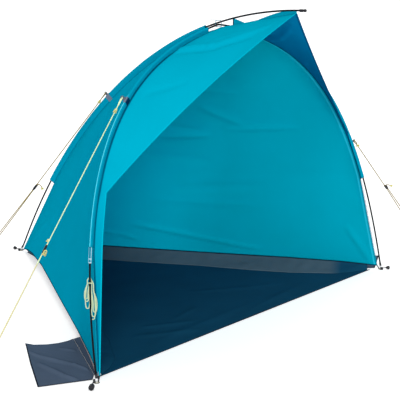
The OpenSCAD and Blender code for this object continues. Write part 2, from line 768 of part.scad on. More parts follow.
// ---- Parts -----------------------------------------------------------------------
arch_sections = 7;
spine_sections = 4;
module arch_section(i) {
    pole_section(arch_path, arch_face, i, arch_sections, tip_len);
}
module spine_section(i) {
    pole_section(spine_path, [-1, 0, 0], i, spine_sections, 0);
}
arch_section(1);  // arch_section_1
arch_section(2);  // arch_section_2
arch_section(3);  // arch_section_3
arch_section(4);  // arch_section_4
arch_section(5);  // arch_section_5
arch_section(6);  // arch_section_6
arch_section(7);  // arch_section_7
ferrules(arch_path, arch_sections);  // arch_ferrules
spine_section(1);  // spine_section_1
spine_section(2);  // spine_section_2
spine_section(3);  // spine_section_3
spine_section(4);  // spine_section_4
ferrules(spine_path, spine_sections);  // spine_ferrules
foot_tip(left_foot, heading(arch_path, 12));  // foot_tip_left
on_right() foot_tip(left_foot, heading(arch_path, 12));  // foot_tip_right
foot_tip(rear_foot, heading(spine_path, 12));  // foot_tip_rear
visor_end_cap();
arch_sleeve_left();
arch_sleeve_right();
spine_sleeve();
sleeve_cuff();
left_wall();
right_wall();
visor_left();
visor_right();
tip_pocket();
crossing_strap();
crossing_cord();
floor_sheet();  // floor
floor_edge_left();
floor_edge_right();
flap_skirts();
sand_flap();  // sand_flap_left
on_right() sand_flap();  // sand_flap_right
left_corner_tab(-1);  // corner_tab_left
on_right() left_corner_tab(1);  // corner_tab_right
corner_tab(rear_foot, rear_out, rear_corner, 1);  // corner_tab_rear
eyelet(left_foot, left_out);  // eyelet_left
on_right() eyelet(left_foot, left_out);  // eyelet_right
eyelet(rear_foot, rear_out);  // eyelet_rear
peg(left_foot, left_out, -1, long_reach);  // peg_left
on_right() peg(left_foot, left_out, 1, short_reach);  // peg_right
peg(rear_foot, rear_out, 1, short_reach);  // peg_rear
peg_head(left_foot, left_out, -1, long_reach);  // peg_head_left
on_right() peg_head(left_foot, left_out, 1, short_reach);  // peg_head_right
peg_head(rear_foot, rear_out, 1, short_reach);  // peg_head_rear
guy_tab_left();
guy_tab_right();
guy_tab_rear();
guy_line(left_route);  // guy_line_left
guy_line(right_route);  // guy_line_right
guy_line(rear_route);  // guy_line_rear
runner(left_route);  // runner_left
runner(right_route);  // runner_right
runner(rear_route);  // runner_rear
line_tail(left_tail_route);  // line_tail_left
line_tail(right_tail_route);  // line_tail_right
line_tail(rear_tail_route);  // line_tail_rear
spare_cord_hank();
hank_tie();
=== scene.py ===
# %% [markdown]
# # A beach shelter on two crossing poles
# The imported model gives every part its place. This lesson dresses it: cords first, then
# poles, cloth, webbing and small hardware, and at the end light and ground. Cloth panels are
# surfaces worked out with numpy, because a tent panel is a simple thing in numbers: it is
# stretched between two curved poles, so straight lines join one seam to the other.

import json
import math

import bpy
import numpy as np
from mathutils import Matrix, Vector

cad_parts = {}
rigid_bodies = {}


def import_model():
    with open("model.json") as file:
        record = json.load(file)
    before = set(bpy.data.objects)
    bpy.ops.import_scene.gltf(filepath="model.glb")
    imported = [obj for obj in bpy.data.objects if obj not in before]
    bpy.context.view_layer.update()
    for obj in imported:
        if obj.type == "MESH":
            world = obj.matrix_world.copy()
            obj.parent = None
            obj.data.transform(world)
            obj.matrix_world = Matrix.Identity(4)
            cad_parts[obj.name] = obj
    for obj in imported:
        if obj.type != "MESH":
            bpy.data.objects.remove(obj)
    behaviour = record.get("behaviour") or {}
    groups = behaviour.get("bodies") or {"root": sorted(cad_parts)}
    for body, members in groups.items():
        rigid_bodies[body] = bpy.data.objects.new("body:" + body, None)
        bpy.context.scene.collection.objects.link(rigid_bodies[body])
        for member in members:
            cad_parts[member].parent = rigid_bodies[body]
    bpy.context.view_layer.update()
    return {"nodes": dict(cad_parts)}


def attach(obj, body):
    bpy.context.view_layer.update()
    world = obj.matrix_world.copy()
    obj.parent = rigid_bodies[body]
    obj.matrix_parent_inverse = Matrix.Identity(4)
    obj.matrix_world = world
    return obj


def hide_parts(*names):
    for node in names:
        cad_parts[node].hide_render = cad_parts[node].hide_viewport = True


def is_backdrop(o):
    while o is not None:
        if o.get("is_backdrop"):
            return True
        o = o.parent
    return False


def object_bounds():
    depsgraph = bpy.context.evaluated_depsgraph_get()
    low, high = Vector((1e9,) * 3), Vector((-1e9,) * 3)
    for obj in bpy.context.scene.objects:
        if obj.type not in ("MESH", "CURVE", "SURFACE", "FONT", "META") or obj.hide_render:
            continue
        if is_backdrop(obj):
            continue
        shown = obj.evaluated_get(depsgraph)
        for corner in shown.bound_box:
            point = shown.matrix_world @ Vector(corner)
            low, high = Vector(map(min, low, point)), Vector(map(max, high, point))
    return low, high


for leftover in list(bpy.data.objects):
    bpy.data.objects.remove(leftover)
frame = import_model()

# %% [markdown]
# ## The camera
# The viewer stands in front of the left foot, a little above the peak, and looks with a long
# lens across the opening. Yaw is measured from +Y towards +X, and pitch is downwards.

# %% Camera
camera_data = bpy.data.cameras.new("viewer")
camera_data.lens = 112.56
camera = bpy.data.objects.new("viewer", camera_data)
bpy.context.scene.collection.objects.link(camera)
camera.location = (-4.17744, -3.97253, 1.92094)
camera.rotation_euler = (math.pi / 2 - 0.25001, 0, -0.84354)
camera_data.clip_end = 60
bpy.context.scene.camera = camera
print("camera at", tuple(camera.location))

# %% [markdown]
# ## Helpers for surfaces
# Everything below is either a grid of points or a ring carried along a path. Two helpers
# turn such arrays into meshes, and a third gives a piece its material, its body and the
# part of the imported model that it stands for.


# %% Mesh helpers
def unit(v):
    """Each vector divided by its own length."""
    v = np.asarray(v, float)
    return v / np.linalg.norm(v, axis=-1, keepdims=True)


def grid_faces(rows, cols, wrap=False):
    """Quads between neighbours of a rows by cols grid; wrap joins the last column to the first."""
    last = cols if wrap else cols - 1
    i, j = np.meshgrid(np.arange(rows - 1), np.arange(last), indexing="ij")
    k = (j + 1) % cols
    here, above = i * cols, (i + 1) * cols
    return np.stack([here + j, here + k, above + k, above + j], -1).reshape(-1, 4)


def mesh_object(name, points, faces, uv=None):
    """An object at the origin. uv gives one pair for each point, and each face corner takes its own."""
    mesh = bpy.data.meshes.new(name)
    mesh.from_pydata(np.asarray(points).reshape(-1, 3).tolist(), [], [list(f) for f in faces])
    if uv is not None:
        corners = np.empty(len(mesh.loops), int)
        mesh.loops.foreach_get("vertex_index", corners)
        layer = mesh.uv_layers.new(name="cut")
        layer.data.foreach_set("uv", np.asarray(uv).reshape(-1, 2)[corners].ravel())
    mesh.polygons.foreach_set("use_smooth", np.ones(len(mesh.polygons), bool))
    obj = bpy.data.objects.new(name, mesh)
    bpy.context.scene.collection.objects.link(obj)
    return obj


def settle(obj, material, stands_for=(), body="shelter"):
    """Gives a piece its material, the nodes it stands for and the body it rides on."""
    obj.data.materials.clear()
    obj.data.materials.append(material)
    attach(obj, body)
    if stands_for:
        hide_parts(*stands_for)
    return obj


# %% Tube helper
def rings(centre, radius, ref, sides):
    """Points centre + radius (cos a, sin a) in the plane square to the path, measured from ref."""
    centre = np.asarray(centre, float)
    along = unit(np.gradient(centre, axis=0))
    ref = np.broadcast_to(np.asarray(ref, float), centre.shape)
    first = unit(ref - (ref * along).sum(-1, keepdims=True) * along)
    second = np.cross(along, first)
    turn = np.linspace(0, 2 * math.pi, sides, endpoint=False)
    radius = np.broadcast_to(np.asarray(radius, float), (len(centre),))
    return centre[:, None] + radius[:, None, None] * (
        np.cos(turn)[None, :, None] * first[:, None] + np.sin(turn)[None, :, None] * second[:, None])


def running(points):
    """Distance along a path to each of its points."""
    return np.concatenate([[0], np.cumsum(np.linalg.norm(np.diff(points, axis=0), axis=1))])


def between(where, marks, points):
    """Straight steps from point to point: the places at the values in where, each point at its mark."""
    return np.stack([np.interp(where, marks, column) for column in np.transpose(points)], -1)


def tube(name, centre, radius, ref, sides=12):
    """A closed round tube: rings joined by quads, with a fan of triangles over each end."""
    centre = np.asarray(centre, float)
    skin = rings(centre, radius, ref, sides)
    count = len(centre)
    points = np.concatenate([skin.reshape(-1, 3), centre[:1], centre[-1:]])
    faces = [list(f) for f in grid_faces(count, sides, wrap=True)]
    for j in range(sides):
        faces.append([count * sides, (j + 1) % sides, j])
        faces.append([count * sides + 1, (count - 1) * sides + j, (count - 1) * sides + (j + 1) % sides])
    length = running(centre)
    uv = np.stack(np.meshgrid(np.linspace(0, 1, sides), length, indexing="xy"), -1).reshape(-1, 2)
    return mesh_object(name, points, faces, np.concatenate([uv, [[0.5, 0], [0.5, length[-1]]]]))


def smooth(points, per_span=5):
    """A cubic for each span: p = (2t^3-3t^2+1) a + (t^3-2t^2+t) m + (3t^2-2t^3) b + (t^3-t^2) n.

    The slopes m and n mix the headings on both sides, the nearer neighbour's counting more, times
    the span's own length, so that short spans beside long ones never overshoot.
    """
    p = np.asarray(points, float)
    step = np.diff(p, axis=0)
    gap = np.linalg.norm(step, axis=1, keepdims=True)
    way = step / gap
    middle = (way[:-1] * gap[1:] + way[1:] * gap[:-1]) / (gap[1:] + gap[:-1])
    slope = np.concatenate([way[:1], middle, way[-1:]])
    t = np.linspace(0, 1, per_span, endpoint=False)[None, :, None]
    a, b = p[:-1, None], p[1:, None]
    m, n = slope[:-1, None] * gap[:, None], slope[1:, None] * gap[:, None]
    curve = (2 * t**3 - 3 * t**2 + 1) * a + (t**3 - 2 * t**2 + t) * m
    curve = curve + (3 * t**2 - 2 * t**3) * b + (t**3 - t**2) * n
    return np.concatenate([curve.reshape(-1, 3), p[-1:]])


# %% [markdown]
# ## Finishes
# A finish is a small set of nodes: a colour that drifts a little, a bump at the scale of the
# real weave or braid, and a roughness. Cloth patterns read the "cut" map, which measures
# metres on the flat cloth, so the weave follows every fold. Tent cloth also lets some light
# through, so its shader is mixed with a translucent one.

# %% Node helpers
TURN = 2 * math.pi


def blank(name):
    """A material with one Principled shader, and its tree and that shader."""
    material = bpy.data.materials.new(name)
    material.use_nodes = True
    tree = material.node_tree
    tree.nodes.clear()
    output = tree.nodes.new("ShaderNodeOutputMaterial")
    shader = tree.nodes.new("ShaderNodeBsdfPrincipled")
    tree.links.new(shader.outputs[0], output.inputs[0])
    return material, tree, shader


def plug(tree, made, sockets):
    """Fills a node's sockets: with a number, with a colour or from another node's output."""
    for key, value in dict(sockets).items():
        if isinstance(value, bpy.types.NodeSocket):
            tree.links.new(value, made.inputs[key])
        else:
            made.inputs[key].default_value = value


def node(tree, kind, sockets=(), **settings):
    """Adds a node with its settings and its sockets filled."""
    made = tree.nodes.new("ShaderNode" + kind)
    for key, value in settings.items():
        setattr(made, key, value)
    plug(tree, made, sockets)
    return made


def maths(tree, operation, a, b=0.0):
    """One step of arithmetic on two values."""
    return node(tree, "Math", {0: a, 1: b}, operation=operation).outputs[0]


def blend(tree, share, first, second):
    """A colour between two, at a share from 0 to 1."""
    return node(tree, "Mix", {0: share, 6: first, 7: second}, data_type="RGBA").outputs[2]


def drift(tree, where, scale, dark, light):
    """A colour that wanders between two, as slow noise does."""
    noise = node(tree, "TexNoise", {"Vector": where, "Scale": scale, "Detail": 3.0})
    return blend(tree, noise.outputs[0], (*dark, 1), (*light, 1))


def shades(colour, spread):
    """The colour made darker and lighter by the share spread."""
    return [[c * (1 + share) for c in colour] for share in (-spread, spread)]


# %% Cloth finish
def band(tree, tint, where, centre, reach, soft, colour):
    """Another colour where |where - centre| < reach; soft is the share of the reach that fades."""
    off = maths(tree, "ABSOLUTE", maths(tree, "SUBTRACT", where, centre))
    share = node(tree, "MapRange", {0: off, 1: reach * (1 - soft), 2: reach, 3: 1.0, 4: 0.0})
    return blend(tree, share.outputs[0], tint, (*colour, 1))


def banded(tree, tint, where, axes, bands):
    """A finish's bands one over the other: each lies across an axis or across a piece's attribute."""
    parts = dict(zip(axes, node(tree, "SeparateXYZ", {0: where}).outputs))
    for place, *rest in bands:
        if place not in parts:
            parts[place] = node(tree, "Attribute", attribute_name=place).outputs["Fac"]
        tint = band(tree, tint, parts[place], *rest)
    return tint, parts


def coat(tree, shader, tint, height, strength, distance, roughness, gloss):
    """Colour, a bump from a height, roughness and gloss into one shader; gives back the bump."""
    bump = node(tree, "Bump", {"Strength": strength, "Distance": distance, "Height": height}).outputs[0]
    plug(tree, shader, {"Base Color": tint, "Normal": bump, "Roughness": roughness,
                        "Specular IOR Level": gloss})
    return bump


def cloth(name, colour, spread=0.05, pitch=0.0011, roughness=0.8, glow=0.0, bands=()):
    """Plain weave: height sin(2 pi u / pitch) times sin(2 pi v / pitch), on the flat cloth.

    bands holds (place, centre, reach, soft, colour): place is "u" or "v" of the cut map, or the
    name of an attribute that a panel carries, such as its distance from a hem.
    """
    material, tree, shader = blank(name)
    where = node(tree, "UVMap", uv_map="cut").outputs[0]
    tint = drift(tree, where, 5.0, *shades(colour, spread))
    tint, parts = banded(tree, tint, where, "uv", bands)
    threads = [maths(tree, "SINE", maths(tree, "MULTIPLY", parts[way], TURN / pitch)) for way in "uv"]
    weave = maths(tree, "MULTIPLY", *threads)
    bump = coat(tree, shader, tint, weave, 0.25, pitch * 0.12, roughness, 0.0)
    if glow:
        through = node(tree, "BsdfTranslucent", {"Color": tint, "Normal": bump})
        lit = node(tree, "MixShader", {0: glow, 1: shader.outputs[0], 2: through.outputs[0]})
        tree.links.new(lit.outputs[0], tree.nodes["Material Output"].inputs[0])
    return material


# DEEP is the dark of the hems, and also the painted shade along the seams beside the sleeves.
DEEP, PALE, BLACK = (0.0, 0.11, 0.2), (0.02, 0.56, 0.72), (0.012, 0.018, 0.03)
FLOOR_BLUE = (0.006, 0.055, 0.105)
# PAINTED_HIGHLIGHT_LINE is a painted highlight: a pale line along each wall near its arch seam, where the
# pole presses the cloth out.
PAINTED_HIGHLIGHT_LINE = ("side", 0.013, 0.006, 0.6, PALE)
DEEP_HEM = ("hem", 0, 0.007, 0.2, DEEP)
BLACK_HEM = ("hem", 0, 0.007, 0.3, BLACK)
EDGE_HEM = ("hem", 0, 0.006, 0.4, BLACK)
teal = cloth("teal polyester", (0.0, 0.42, 0.61), glow=0.3, bands=[PAINTED_HIGHLIGHT_LINE, DEEP_HEM])
# The right wall, seen from inside, is a darker copy of the teal cloth, painted shade, with painted light in
# two soft bands that lighten it towards the spine side and partway up.
teal_inside_painted_light = cloth("right wall polyester with painted light", (0.0, 0.405, 0.54), glow=0.3, bands=[
    ("u", -0.75, 0.85, 1.0, (0.0, 0.66, 0.86)), ("v", 1.45, 0.6, 1.0, (0.0, 0.50, 0.62)),
    PAINTED_HIGHLIGHT_LINE, DEEP_HEM])
# The visor's cloth carries painted shade: darker towards the lower end of its hem strip, and a dark line
# along its arch side, in the valley beside the sleeve.
visor_teal = cloth("visor polyester", (0.0, 0.35, 0.50), bands=[
    ("v", 0, 0.78, 1.0, (0.0, 0.2, 0.33)), ("side", 0, 0.007, 0.5, DEEP),
    ("hem", 0, 0.006, 0.3, (0.0, 0.42, 0.58))])
# The visor's underside is the same cloth in a darker copy, darker still near its hem: painted shade.
visor_underside_shade = cloth("visor underside painted shade", (0.0, 0.22, 0.46), bands=[("hem", 0, 0.012, 0.2, (0.0, 0.10, 0.24))])
navy = cloth("coated floor", FLOOR_BLUE, 0.15, 0.0016, 0.5, bands=[BLACK_HEM])
# The two edges are one grey cloth with a slightly different tone on each side, painted light and shade. Each
# is floor blue for a stretch from its front corner, where the floor's cloth turns up; the left stretch is
# longer, painted shade.
grey_left = cloth("left edge cloth", (0.065, 0.115, 0.15), 0.15, 0.0014,
                  bands=[("v", 0, 0.62, 0.2, FLOOR_BLUE), EDGE_HEM])
grey_right = cloth("right edge cloth", (0.058, 0.10, 0.132), 0.15, 0.0014,
                   bands=[("v", 0, 0.2, 0.3, FLOOR_BLUE), EDGE_HEM])
slate = cloth("sand flap cloth", (0.07, 0.10, 0.15), 0.18, 0.0014, bands=[BLACK_HEM])
skirt_slate = cloth("skirt cloth", (0.06, 0.09, 0.14), 0.18, 0.0014, bands=[
    ("hem", 0, 0.016, 0.2, BLACK), ("hem", 0, 0.01, 0.2, (0.24, 0.23, 0.25))])
print("cloth finishes", [finish.name for finish in (teal, visor_teal, visor_underside_shade, navy, slate)])


# %% Cord finish
def braid(name, colour, fleck, lay=0.006, bands=()):
    """Eight strands wound opposite ways: the higher of sin(2 pi (4 u + v / lay)) and its mirror in v."""
    material, tree, shader = blank(name)
    where = node(tree, "UVMap", uv_map="cut").outputs[0]
    tint, parts = banded(tree, drift(tree, where, 90.0, fleck, colour), where, "uv", bands)
    round_it = maths(tree, "MULTIPLY", parts["u"], TURN * 4)
    along_it = maths(tree, "MULTIPLY", parts["v"], TURN / lay)
    ways = [maths(tree, "SINE", maths(tree, turn, round_it, along_it)) for turn in ("ADD", "SUBTRACT")]
    coat(tree, shader, tint, maths(tree, "MAXIMUM", *ways), 0.5, 0.0003, 0.8, 0.1)
    return material


# One yellow cord in painted light and shade: the left line is pale over the teal wall and straw on its lower
# stretch, and the rear and right lines are a darker copy in painted shade.
CORD_SHADE, STRAW = (0.34, 0.25, 0.08), (0.74, 0.68, 0.40)
yellow = braid("yellow guy cord", (0.88, 1.0, 0.66), (0.66, 0.84, 0.40),
               bands=[("v", 1.25, 0.43, 0.03, STRAW)])
shaded_cord = braid("guy cord in painted shade", CORD_SHADE, (0.28, 0.2, 0.06))
spare = braid("pale spare cord", (0.68, 0.80, 0.52), (0.40, 0.5, 0.32))
knotted = braid("knotted cord", (0.85, 0.76, 0.3), (0.6, 0.52, 0.2))
lace = braid("grey lace", (0.42, 0.44, 0.45), (0.3, 0.32, 0.33), lay=0.003)
print("cord finishes", yellow.name, lace.name)


# %% Moulded and metal finishes
def solid(name, colour, roughness, metallic=0.0, gloss=0.5, bands=()):
    """Plastic, metal or fibreglass: colour and bump from noise on the object's own coordinates."""
    material, tree, shader = blank(name)
    where = node(tree, "TexCoord").outputs["Object"]
    tint, _ = banded(tree, drift(tree, where, 60.0, *shades(colour, 0.12)), where, "xyz", bands)
    grain = node(tree, "TexNoise", {"Vector": where, "Scale": 720.0, "Detail": 4.0}).outputs[0]
    rough = node(tree, "MapRange", {0: grain, 3: roughness * 0.85, 4: roughness * 1.15}).outputs[0]
    coat(tree, shader, tint, grain, 0.3, 0.0001, rough, gloss)
    plug(tree, shader, {"Metallic": metallic})
    return material


BRIGHT_END = ("z", 0, 0.019, 0.05, (0.8, 0.81, 0.83))
fibreglass = solid("black fibreglass", (0.004, 0.006, 0.009), 0.6, gloss=0.05)
tip_metal = solid("tip steel", (0.012, 0.012, 0.016), 0.35, gloss=0.3, bands=[BRIGHT_END])
wire = solid("peg wire", (0.06, 0.06, 0.065), 0.4, gloss=0.3)
dull_brass = solid("eyelet brass", (0.55, 0.5, 0.36), 0.4, metallic=1.0)
moulded = solid("black moulding", (0.012, 0.012, 0.015), 0.5, gloss=0.2)
print("hard finishes", [finish.name for finish in (fibreglass, tip_metal, wire, dull_brass, moulded)])


# %% [markdown]
# ## Guy lines
# Three lines hold the shelter: two from webbing tabs on the arch and one from a tab on the
# spine pole. Each is a thin braided cord: it loops through the tab, closes in a knot, runs
# straight through a runner, turns round at the ground and comes back to the runner, and a
# short free end hangs from the runner with a stop knot. The points, in millimetres, repeat the
# routes that the solid model sweeps.

# %% Guy line routes
LINE_POINTS = {
    "left": [
        (-643, -381, 1035), (-639, -381, 1042), (-633, -385, 1057), (-630, -388, 1065), (-630, -392, 1068),
        (-631, -394, 1069), (-633, -397, 1068), (-636, -397, 1064), (-639, -394, 1056), (-644, -389, 1042),
        (-645, -384, 1035), (-645, -381, 1032), (-646, -381, 1030), (-648, -379, 1025), (-649, -378, 1022),
        (-886, -165, 415), (-965, -101, 220), (-1045, -37, 26), (-1049, -32, 14), (-1048, -26, 7),
        (-1045, -21, 5), (-1040, -17, 7), (-1035, -16, 14), (-1029, -19, 26), (-955, -89, 220),
        (-883, -158, 410), (-879, -162, 421),
    ],
    "right": [
        (934, -472, 645), (928, -476, 649), (915, -480, 658), (908, -481, 663), (904, -480, 666),
        (903, -477, 668), (903, -474, 667), (907, -471, 665), (914, -469, 660), (926, -467, 650),
        (933, -468, 645), (936, -469, 643), (938, -469, 642), (942, -468, 639), (945, -467, 637),
        (1394, -362, 310), (1627, -301, 140), (1791, -257, 20), (1802, -256, 12), (1809, -259, 7),
        (1812, -264, 6), (1812, -271, 7), (1807, -277, 12), (1797, -280, 20), (1631, -317, 140),
        (1401, -368, 307), (1391, -370, 314),
    ],
    "rear": [
        (-7, 375, 899), (-4, 370, 906), (-2, 359, 918), (-1, 353, 924), (-3, 350, 927),
        (-6, 348, 928), (-9, 348, 926), (-11, 351, 923), (-12, 356, 916), (-12, 368, 904),
        (-10, 374, 899), (-9, 376, 897), (-9, 378, 895), (-9, 381, 891), (-9, 384, 888),
        (-53, 858, 368), (-74, 1019, 192), (-94, 1172, 23), (-93, 1181, 13), (-89, 1187, 7),
        (-83, 1189, 6), (-77, 1188, 7), (-72, 1183, 13), (-70, 1175, 23), (-58, 1020, 192),
        (-46, 863, 364), (-45, 855, 373),
    ],
}
TAIL_POINTS = {
    "left": [
        (-873, -167, 436), (-869, -170, 444), (-864, -175, 458), (-858, -175, 464), (-850, -173, 471),
        (-844, -167, 473), (-841, -160, 470), (-841, -157, 468), (-841, -154, 465), (-841, -152, 462),
    ],
    "right": [
        (1378, -373, 323), (1370, -375, 329), (1357, -378, 338), (1352, -383, 342), (1346, -392, 346),
        (1347, -400, 347), (1352, -406, 345), (1355, -408, 344), (1358, -409, 343), (1361, -410, 341),
    ],
    "rear": [
        (-44, 843, 385), (-44, 837, 393), (-44, 826, 404), (-46, 816, 406), (-47, 806, 405),
        (-44, 799, 399), (-41, 798, 392), (-40, 798, 390), (-39, 798, 387), (-38, 798, 385),
    ],
}
LACE_POINTS = [(0, -280, 1303), (0, -290, 1315), (-1, -322, 1327), (-2, -354, 1328)]
CORD_D, LACE_D = 0.0045, 0.0018
ACROSS = (0.31, 0.52, 0.4)
TAB_TOP, STRAIGHT_TOP, STRAIGHT_END = 5, 14, 15
STRAIGHT_SPANS = (STRAIGHT_TOP, STRAIGHT_END, 16, 23, 24)
print("points a line", {side: len(points) for side, points in LINE_POINTS.items()})


# %% Laying a cord
def eased(centre):
    """The same path in even steps of 2.5 mm, averaged three times (1, 2, 1) / 4 with its neighbours."""
    run = running(centre)
    even = np.linspace(0, run[-1], int(run[-1] / 0.0025) + 2)
    path = between(even, run, centre)
    for _ in range(3):
        path[1:-1] = (path[:-2] + 2 * path[1:-1] + path[2:]) / 4
    return path


def laid(route, straight=()):
    """The smooth curve through a route, with the named spans kept straight by points on their chord."""
    points = np.array(route) / 1000
    for span in sorted(straight, reverse=True):
        a, b = points[span], points[span + 1]
        inner = a + (b - a) * np.array([0.02, 0.1, 0.3, 0.5, 0.7, 0.9, 0.98])[:, None]
        points = np.insert(points, span + 1, inner, axis=0)
    return eased(smooth(points))


def knot(name, at, along, size, body):
    """A trefoil of cord, (sin a + 2 sin 2a, cos a - 2 cos 2a, -sin 3a), drawn out along the line."""
    along = unit(along)
    side = unit(np.cross(along, ACROSS))
    front = np.cross(along, side)
    a = np.linspace(0, TURN, 61)
    wide = (np.sin(a) + 2 * np.sin(2 * a))[:, None] / 3
    long = (np.cos(a) - 2 * np.cos(2 * a))[:, None] / 3
    deep = -np.sin(3 * a)[:, None] / 3
    centre = np.asarray(at) + size * (wide * side + 1.3 * long * along + 0.8 * deep * front)
    made = tube(name, centre, CORD_D / 2, along + 0.3 * side, 10)
    return settle(made, knotted, body=body)


# %% Guy lines and their free ends
KNOT_SIZE, KNOT_BELOW, STOP_SIZE = 0.0075, 0.010, 0.0055
HITCH_SIZE, HITCH_AT = 0.0105, (-0.884, -0.179, 0.423)
for side, route in LINE_POINTS.items():
    # The rear and right lines take the cord's painted shade.
    finish = yellow if side == "left" else shaded_cord
    centre = laid(route, STRAIGHT_SPANS)
    line = tube("guy_cord_" + side, centre, CORD_D / 2, ACROSS, 14)
    settle(line, finish, ["guy_line_" + side])
    top, low = np.array(route)[[STRAIGHT_TOP, STRAIGHT_END]] / 1000
    down = unit(low - top)
    knot("line_knot_" + side, top + KNOT_BELOW * down, down, KNOT_SIZE, "shelter")
    tail = laid(TAIL_POINTS[side])
    free_end = tube("free_end_" + side, tail, CORD_D / 2, ACROSS, 14)
    settle(free_end, finish, ["line_tail_" + side], "runner_" + side)
    knot("stop_knot_" + side, tail[-1], tail[-1] - tail[-4], STOP_SIZE, "runner_" + side)
    if side == "left":
        hitch = knot("runner_hitch_left", HITCH_AT, down, HITCH_SIZE, "runner_left")

# %% Lace at the crossing
centre = laid(LACE_POINTS)
crossing_lace = tube("crossing_lace", centre, LACE_D / 2, (1, 0, 0), 10)
settle(crossing_lace, lace, ["crossing_cord"])


# %% [markdown]
# ## The two pole lines
# A bent fibreglass pole is a smooth curve. A Bezier curve is a handy stand-in: two end points
# and a few handles give its whole shape. The spine pole has five control points; the arch is
# two mirrored cubic halves in a plane that leans back over the floor.


# %% Curves by control points
def bezier(control, t):
    """Repeated mixing of neighbouring control points until one point is left for each t."""
    points = [np.asarray(p, float) * np.ones((len(t), 1)) for p in control]
    t = np.asarray(t)[:, None]
    while len(points) > 1:
        points = [a + (b - a) * t for a, b in zip(points, points[1:])]
    return points[0]


class Path:
    """Points with their running length, so that places are found by distance along it."""

    def __init__(self, points):
        self.points = points
        self.run = running(points)
        self.length = self.run[-1]

    def at(self, s):
        """The places at the distances s."""
        return between(s, self.run, self.points)

    def heading(self, s):
        """The path's direction at s: from 4 mm before to 4 mm after."""
        return unit(self.at(np.minimum(s + 0.004, self.length)) - self.at(np.maximum(s - 0.004, 0)))


def mixed(a, b, u):
    """a + (b - a) u, for every u."""
    return a + (b - a) * np.asarray(u)[..., None]


# %% Spine and arch
FRONT_Y, REAR_Y = -0.6, 1.03
PEAK, REACH = 1.4, 0.235
POLE_D = 0.0079
SPINE_CONTROL = [
    (0, REAR_Y, 0), (0, REAR_Y - 0.04, 0.06), (0, REAR_Y - 0.03, 0),
    (0, REAR_Y - 0.53, PEAK - 0.05), (0, FRONT_Y - REACH, PEAK)]
HUB_SHARE, CROSSING_GAP = 0.903, 0.0006
spine = Path(bezier(SPINE_CONTROL, np.linspace(0, 1, 400)))
hub = bezier(SPINE_CONTROL, [HUB_SHARE])[0]
s_hub = Path(bezier(SPINE_CONTROL, np.linspace(0, HUB_SHARE, 400))).length
apex = hub - [0, 0, POLE_D + CROSSING_GAP]
lean = unit([0, apex[1] - FRONT_Y, apex[2]])
arch_face = np.array([0, -lean[2], lean[1]])
left_foot = np.array([-1.0, FRONT_Y, 0])
rear_foot = np.array([0, REAR_Y, 0])
FOOT_ANGLE, FOOT_HANDLE, HUB_HANDLE, HUB_SLOPE = math.radians(88), 1.0, 0.52, 0.08
arch_control = [
    left_foot,
    left_foot + FOOT_HANDLE * (math.sin(FOOT_ANGLE) * lean + [math.cos(FOOT_ANGLE), 0, 0]),
    apex - [HUB_HANDLE, 0, HUB_SLOPE],
    apex]
half = bezier(arch_control, np.linspace(0, 1, 400))
arch = Path(np.concatenate([half, half[-2::-1] * [-1, 1, 1]]))
arch_mid = arch.length / 2
print("spine", round(spine.length, 3), "arch", round(arch.length, 3), "crossing", hub.round(3))

# %% Pole sections
END_SECTION, JOINT_GAP, TIP_LEN = 0.612, 0.0003, 0.024
ARCH_SECTIONS, SPINE_SECTIONS = 7, 4


def joints(path, count):
    """Distances of a pole's joints: end sections of a set length, equal ones between."""
    return [0, *np.linspace(END_SECTION, path.length - END_SECTION, count - 1), path.length]


def pole(name, path, ref, count, end_cut):
    """One smooth round tube for each section; neighbours stop just short of each other."""
    marks = joints(path, count)
    for index in range(1, count + 1):
        start = marks[index - 1] + (TIP_LEN if index == 1 else JOINT_GAP)
        end = marks[index] - (end_cut if index == count else JOINT_GAP)
        centre = path.at(np.linspace(start, end, 60))
        section = tube(f"{name}_{index}_round", centre, POLE_D / 2, ref, 20)
        settle(section, fibreglass, [f"{name}_{index}"])


pole("arch_section", arch, arch_face, ARCH_SECTIONS, TIP_LEN)
pole("spine_section", spine, (-1, 0, 0), SPINE_SECTIONS, 0)

# %% [markdown]
# ## Seam lines
# The cloth hangs from the poles by sleeves. The seam beside a pole is the pole's own line
# moved inwards, and near each foot it runs straight down to the fabric's corner.


# %% Seams
ARCH_GAP, SPINE_GAP = 0.017, 0.025
CLOTH, CLOTH_GAP = 0.002, 0.0003
SEAM_OFF = CLOTH / 2 + CLOTH_GAP
CORNER_S, SEAM_START, SEAM_STOP = 0.024, 0.505, 0.01
front_corner = left_foot + [0.018, 0.01, 0.02]
rear_corner = rear_foot + [0, -0.022, 0.01]
chord = unit(rear_foot - left_foot)
chord_out = np.array([-chord[1], chord[0], 0])
chord_len = float(np.linalg.norm(rear_foot - left_foot))


def inward(path, s):
    """Square to the pole and to its plane's normal, into the shelter."""
    if path is arch:
        return unit(np.cross(path.heading(s), arch_face))
    return unit(np.cross([1, 0, 0], path.heading(s)))


def seam(path, s):
    """The pole's line moved inwards, and a straight run to the corner below SEAM_START."""
    gap, corner = (ARCH_GAP, front_corner) if path is arch else (SPINE_GAP, rear_corner)
    s = np.asarray(s, float)
    start = np.array([SEAM_START])
    beside = path.at(s) + gap * inward(path, s)
    first = (path.at(start) + gap * inward(path, start))[0]
    low = mixed(corner, first, (s - CORNER_S) / (SEAM_START - CORNER_S))
    return np.where((s > SEAM_START)[..., None], beside, low)


# share of the seam, rise above the straight line, bow inside it
BOTTOM_CUT = np.array([
    (0, 0, 0), (0.1, 0.014, 0.008), (0.25, 0.024, 0.013), (0.5, 0.032, 0.016),
    (0.75, 0.043, 0.019), (0.87, 0.044, 0.009), (0.95, 0.024, 0.004), (1, 0, 0)])


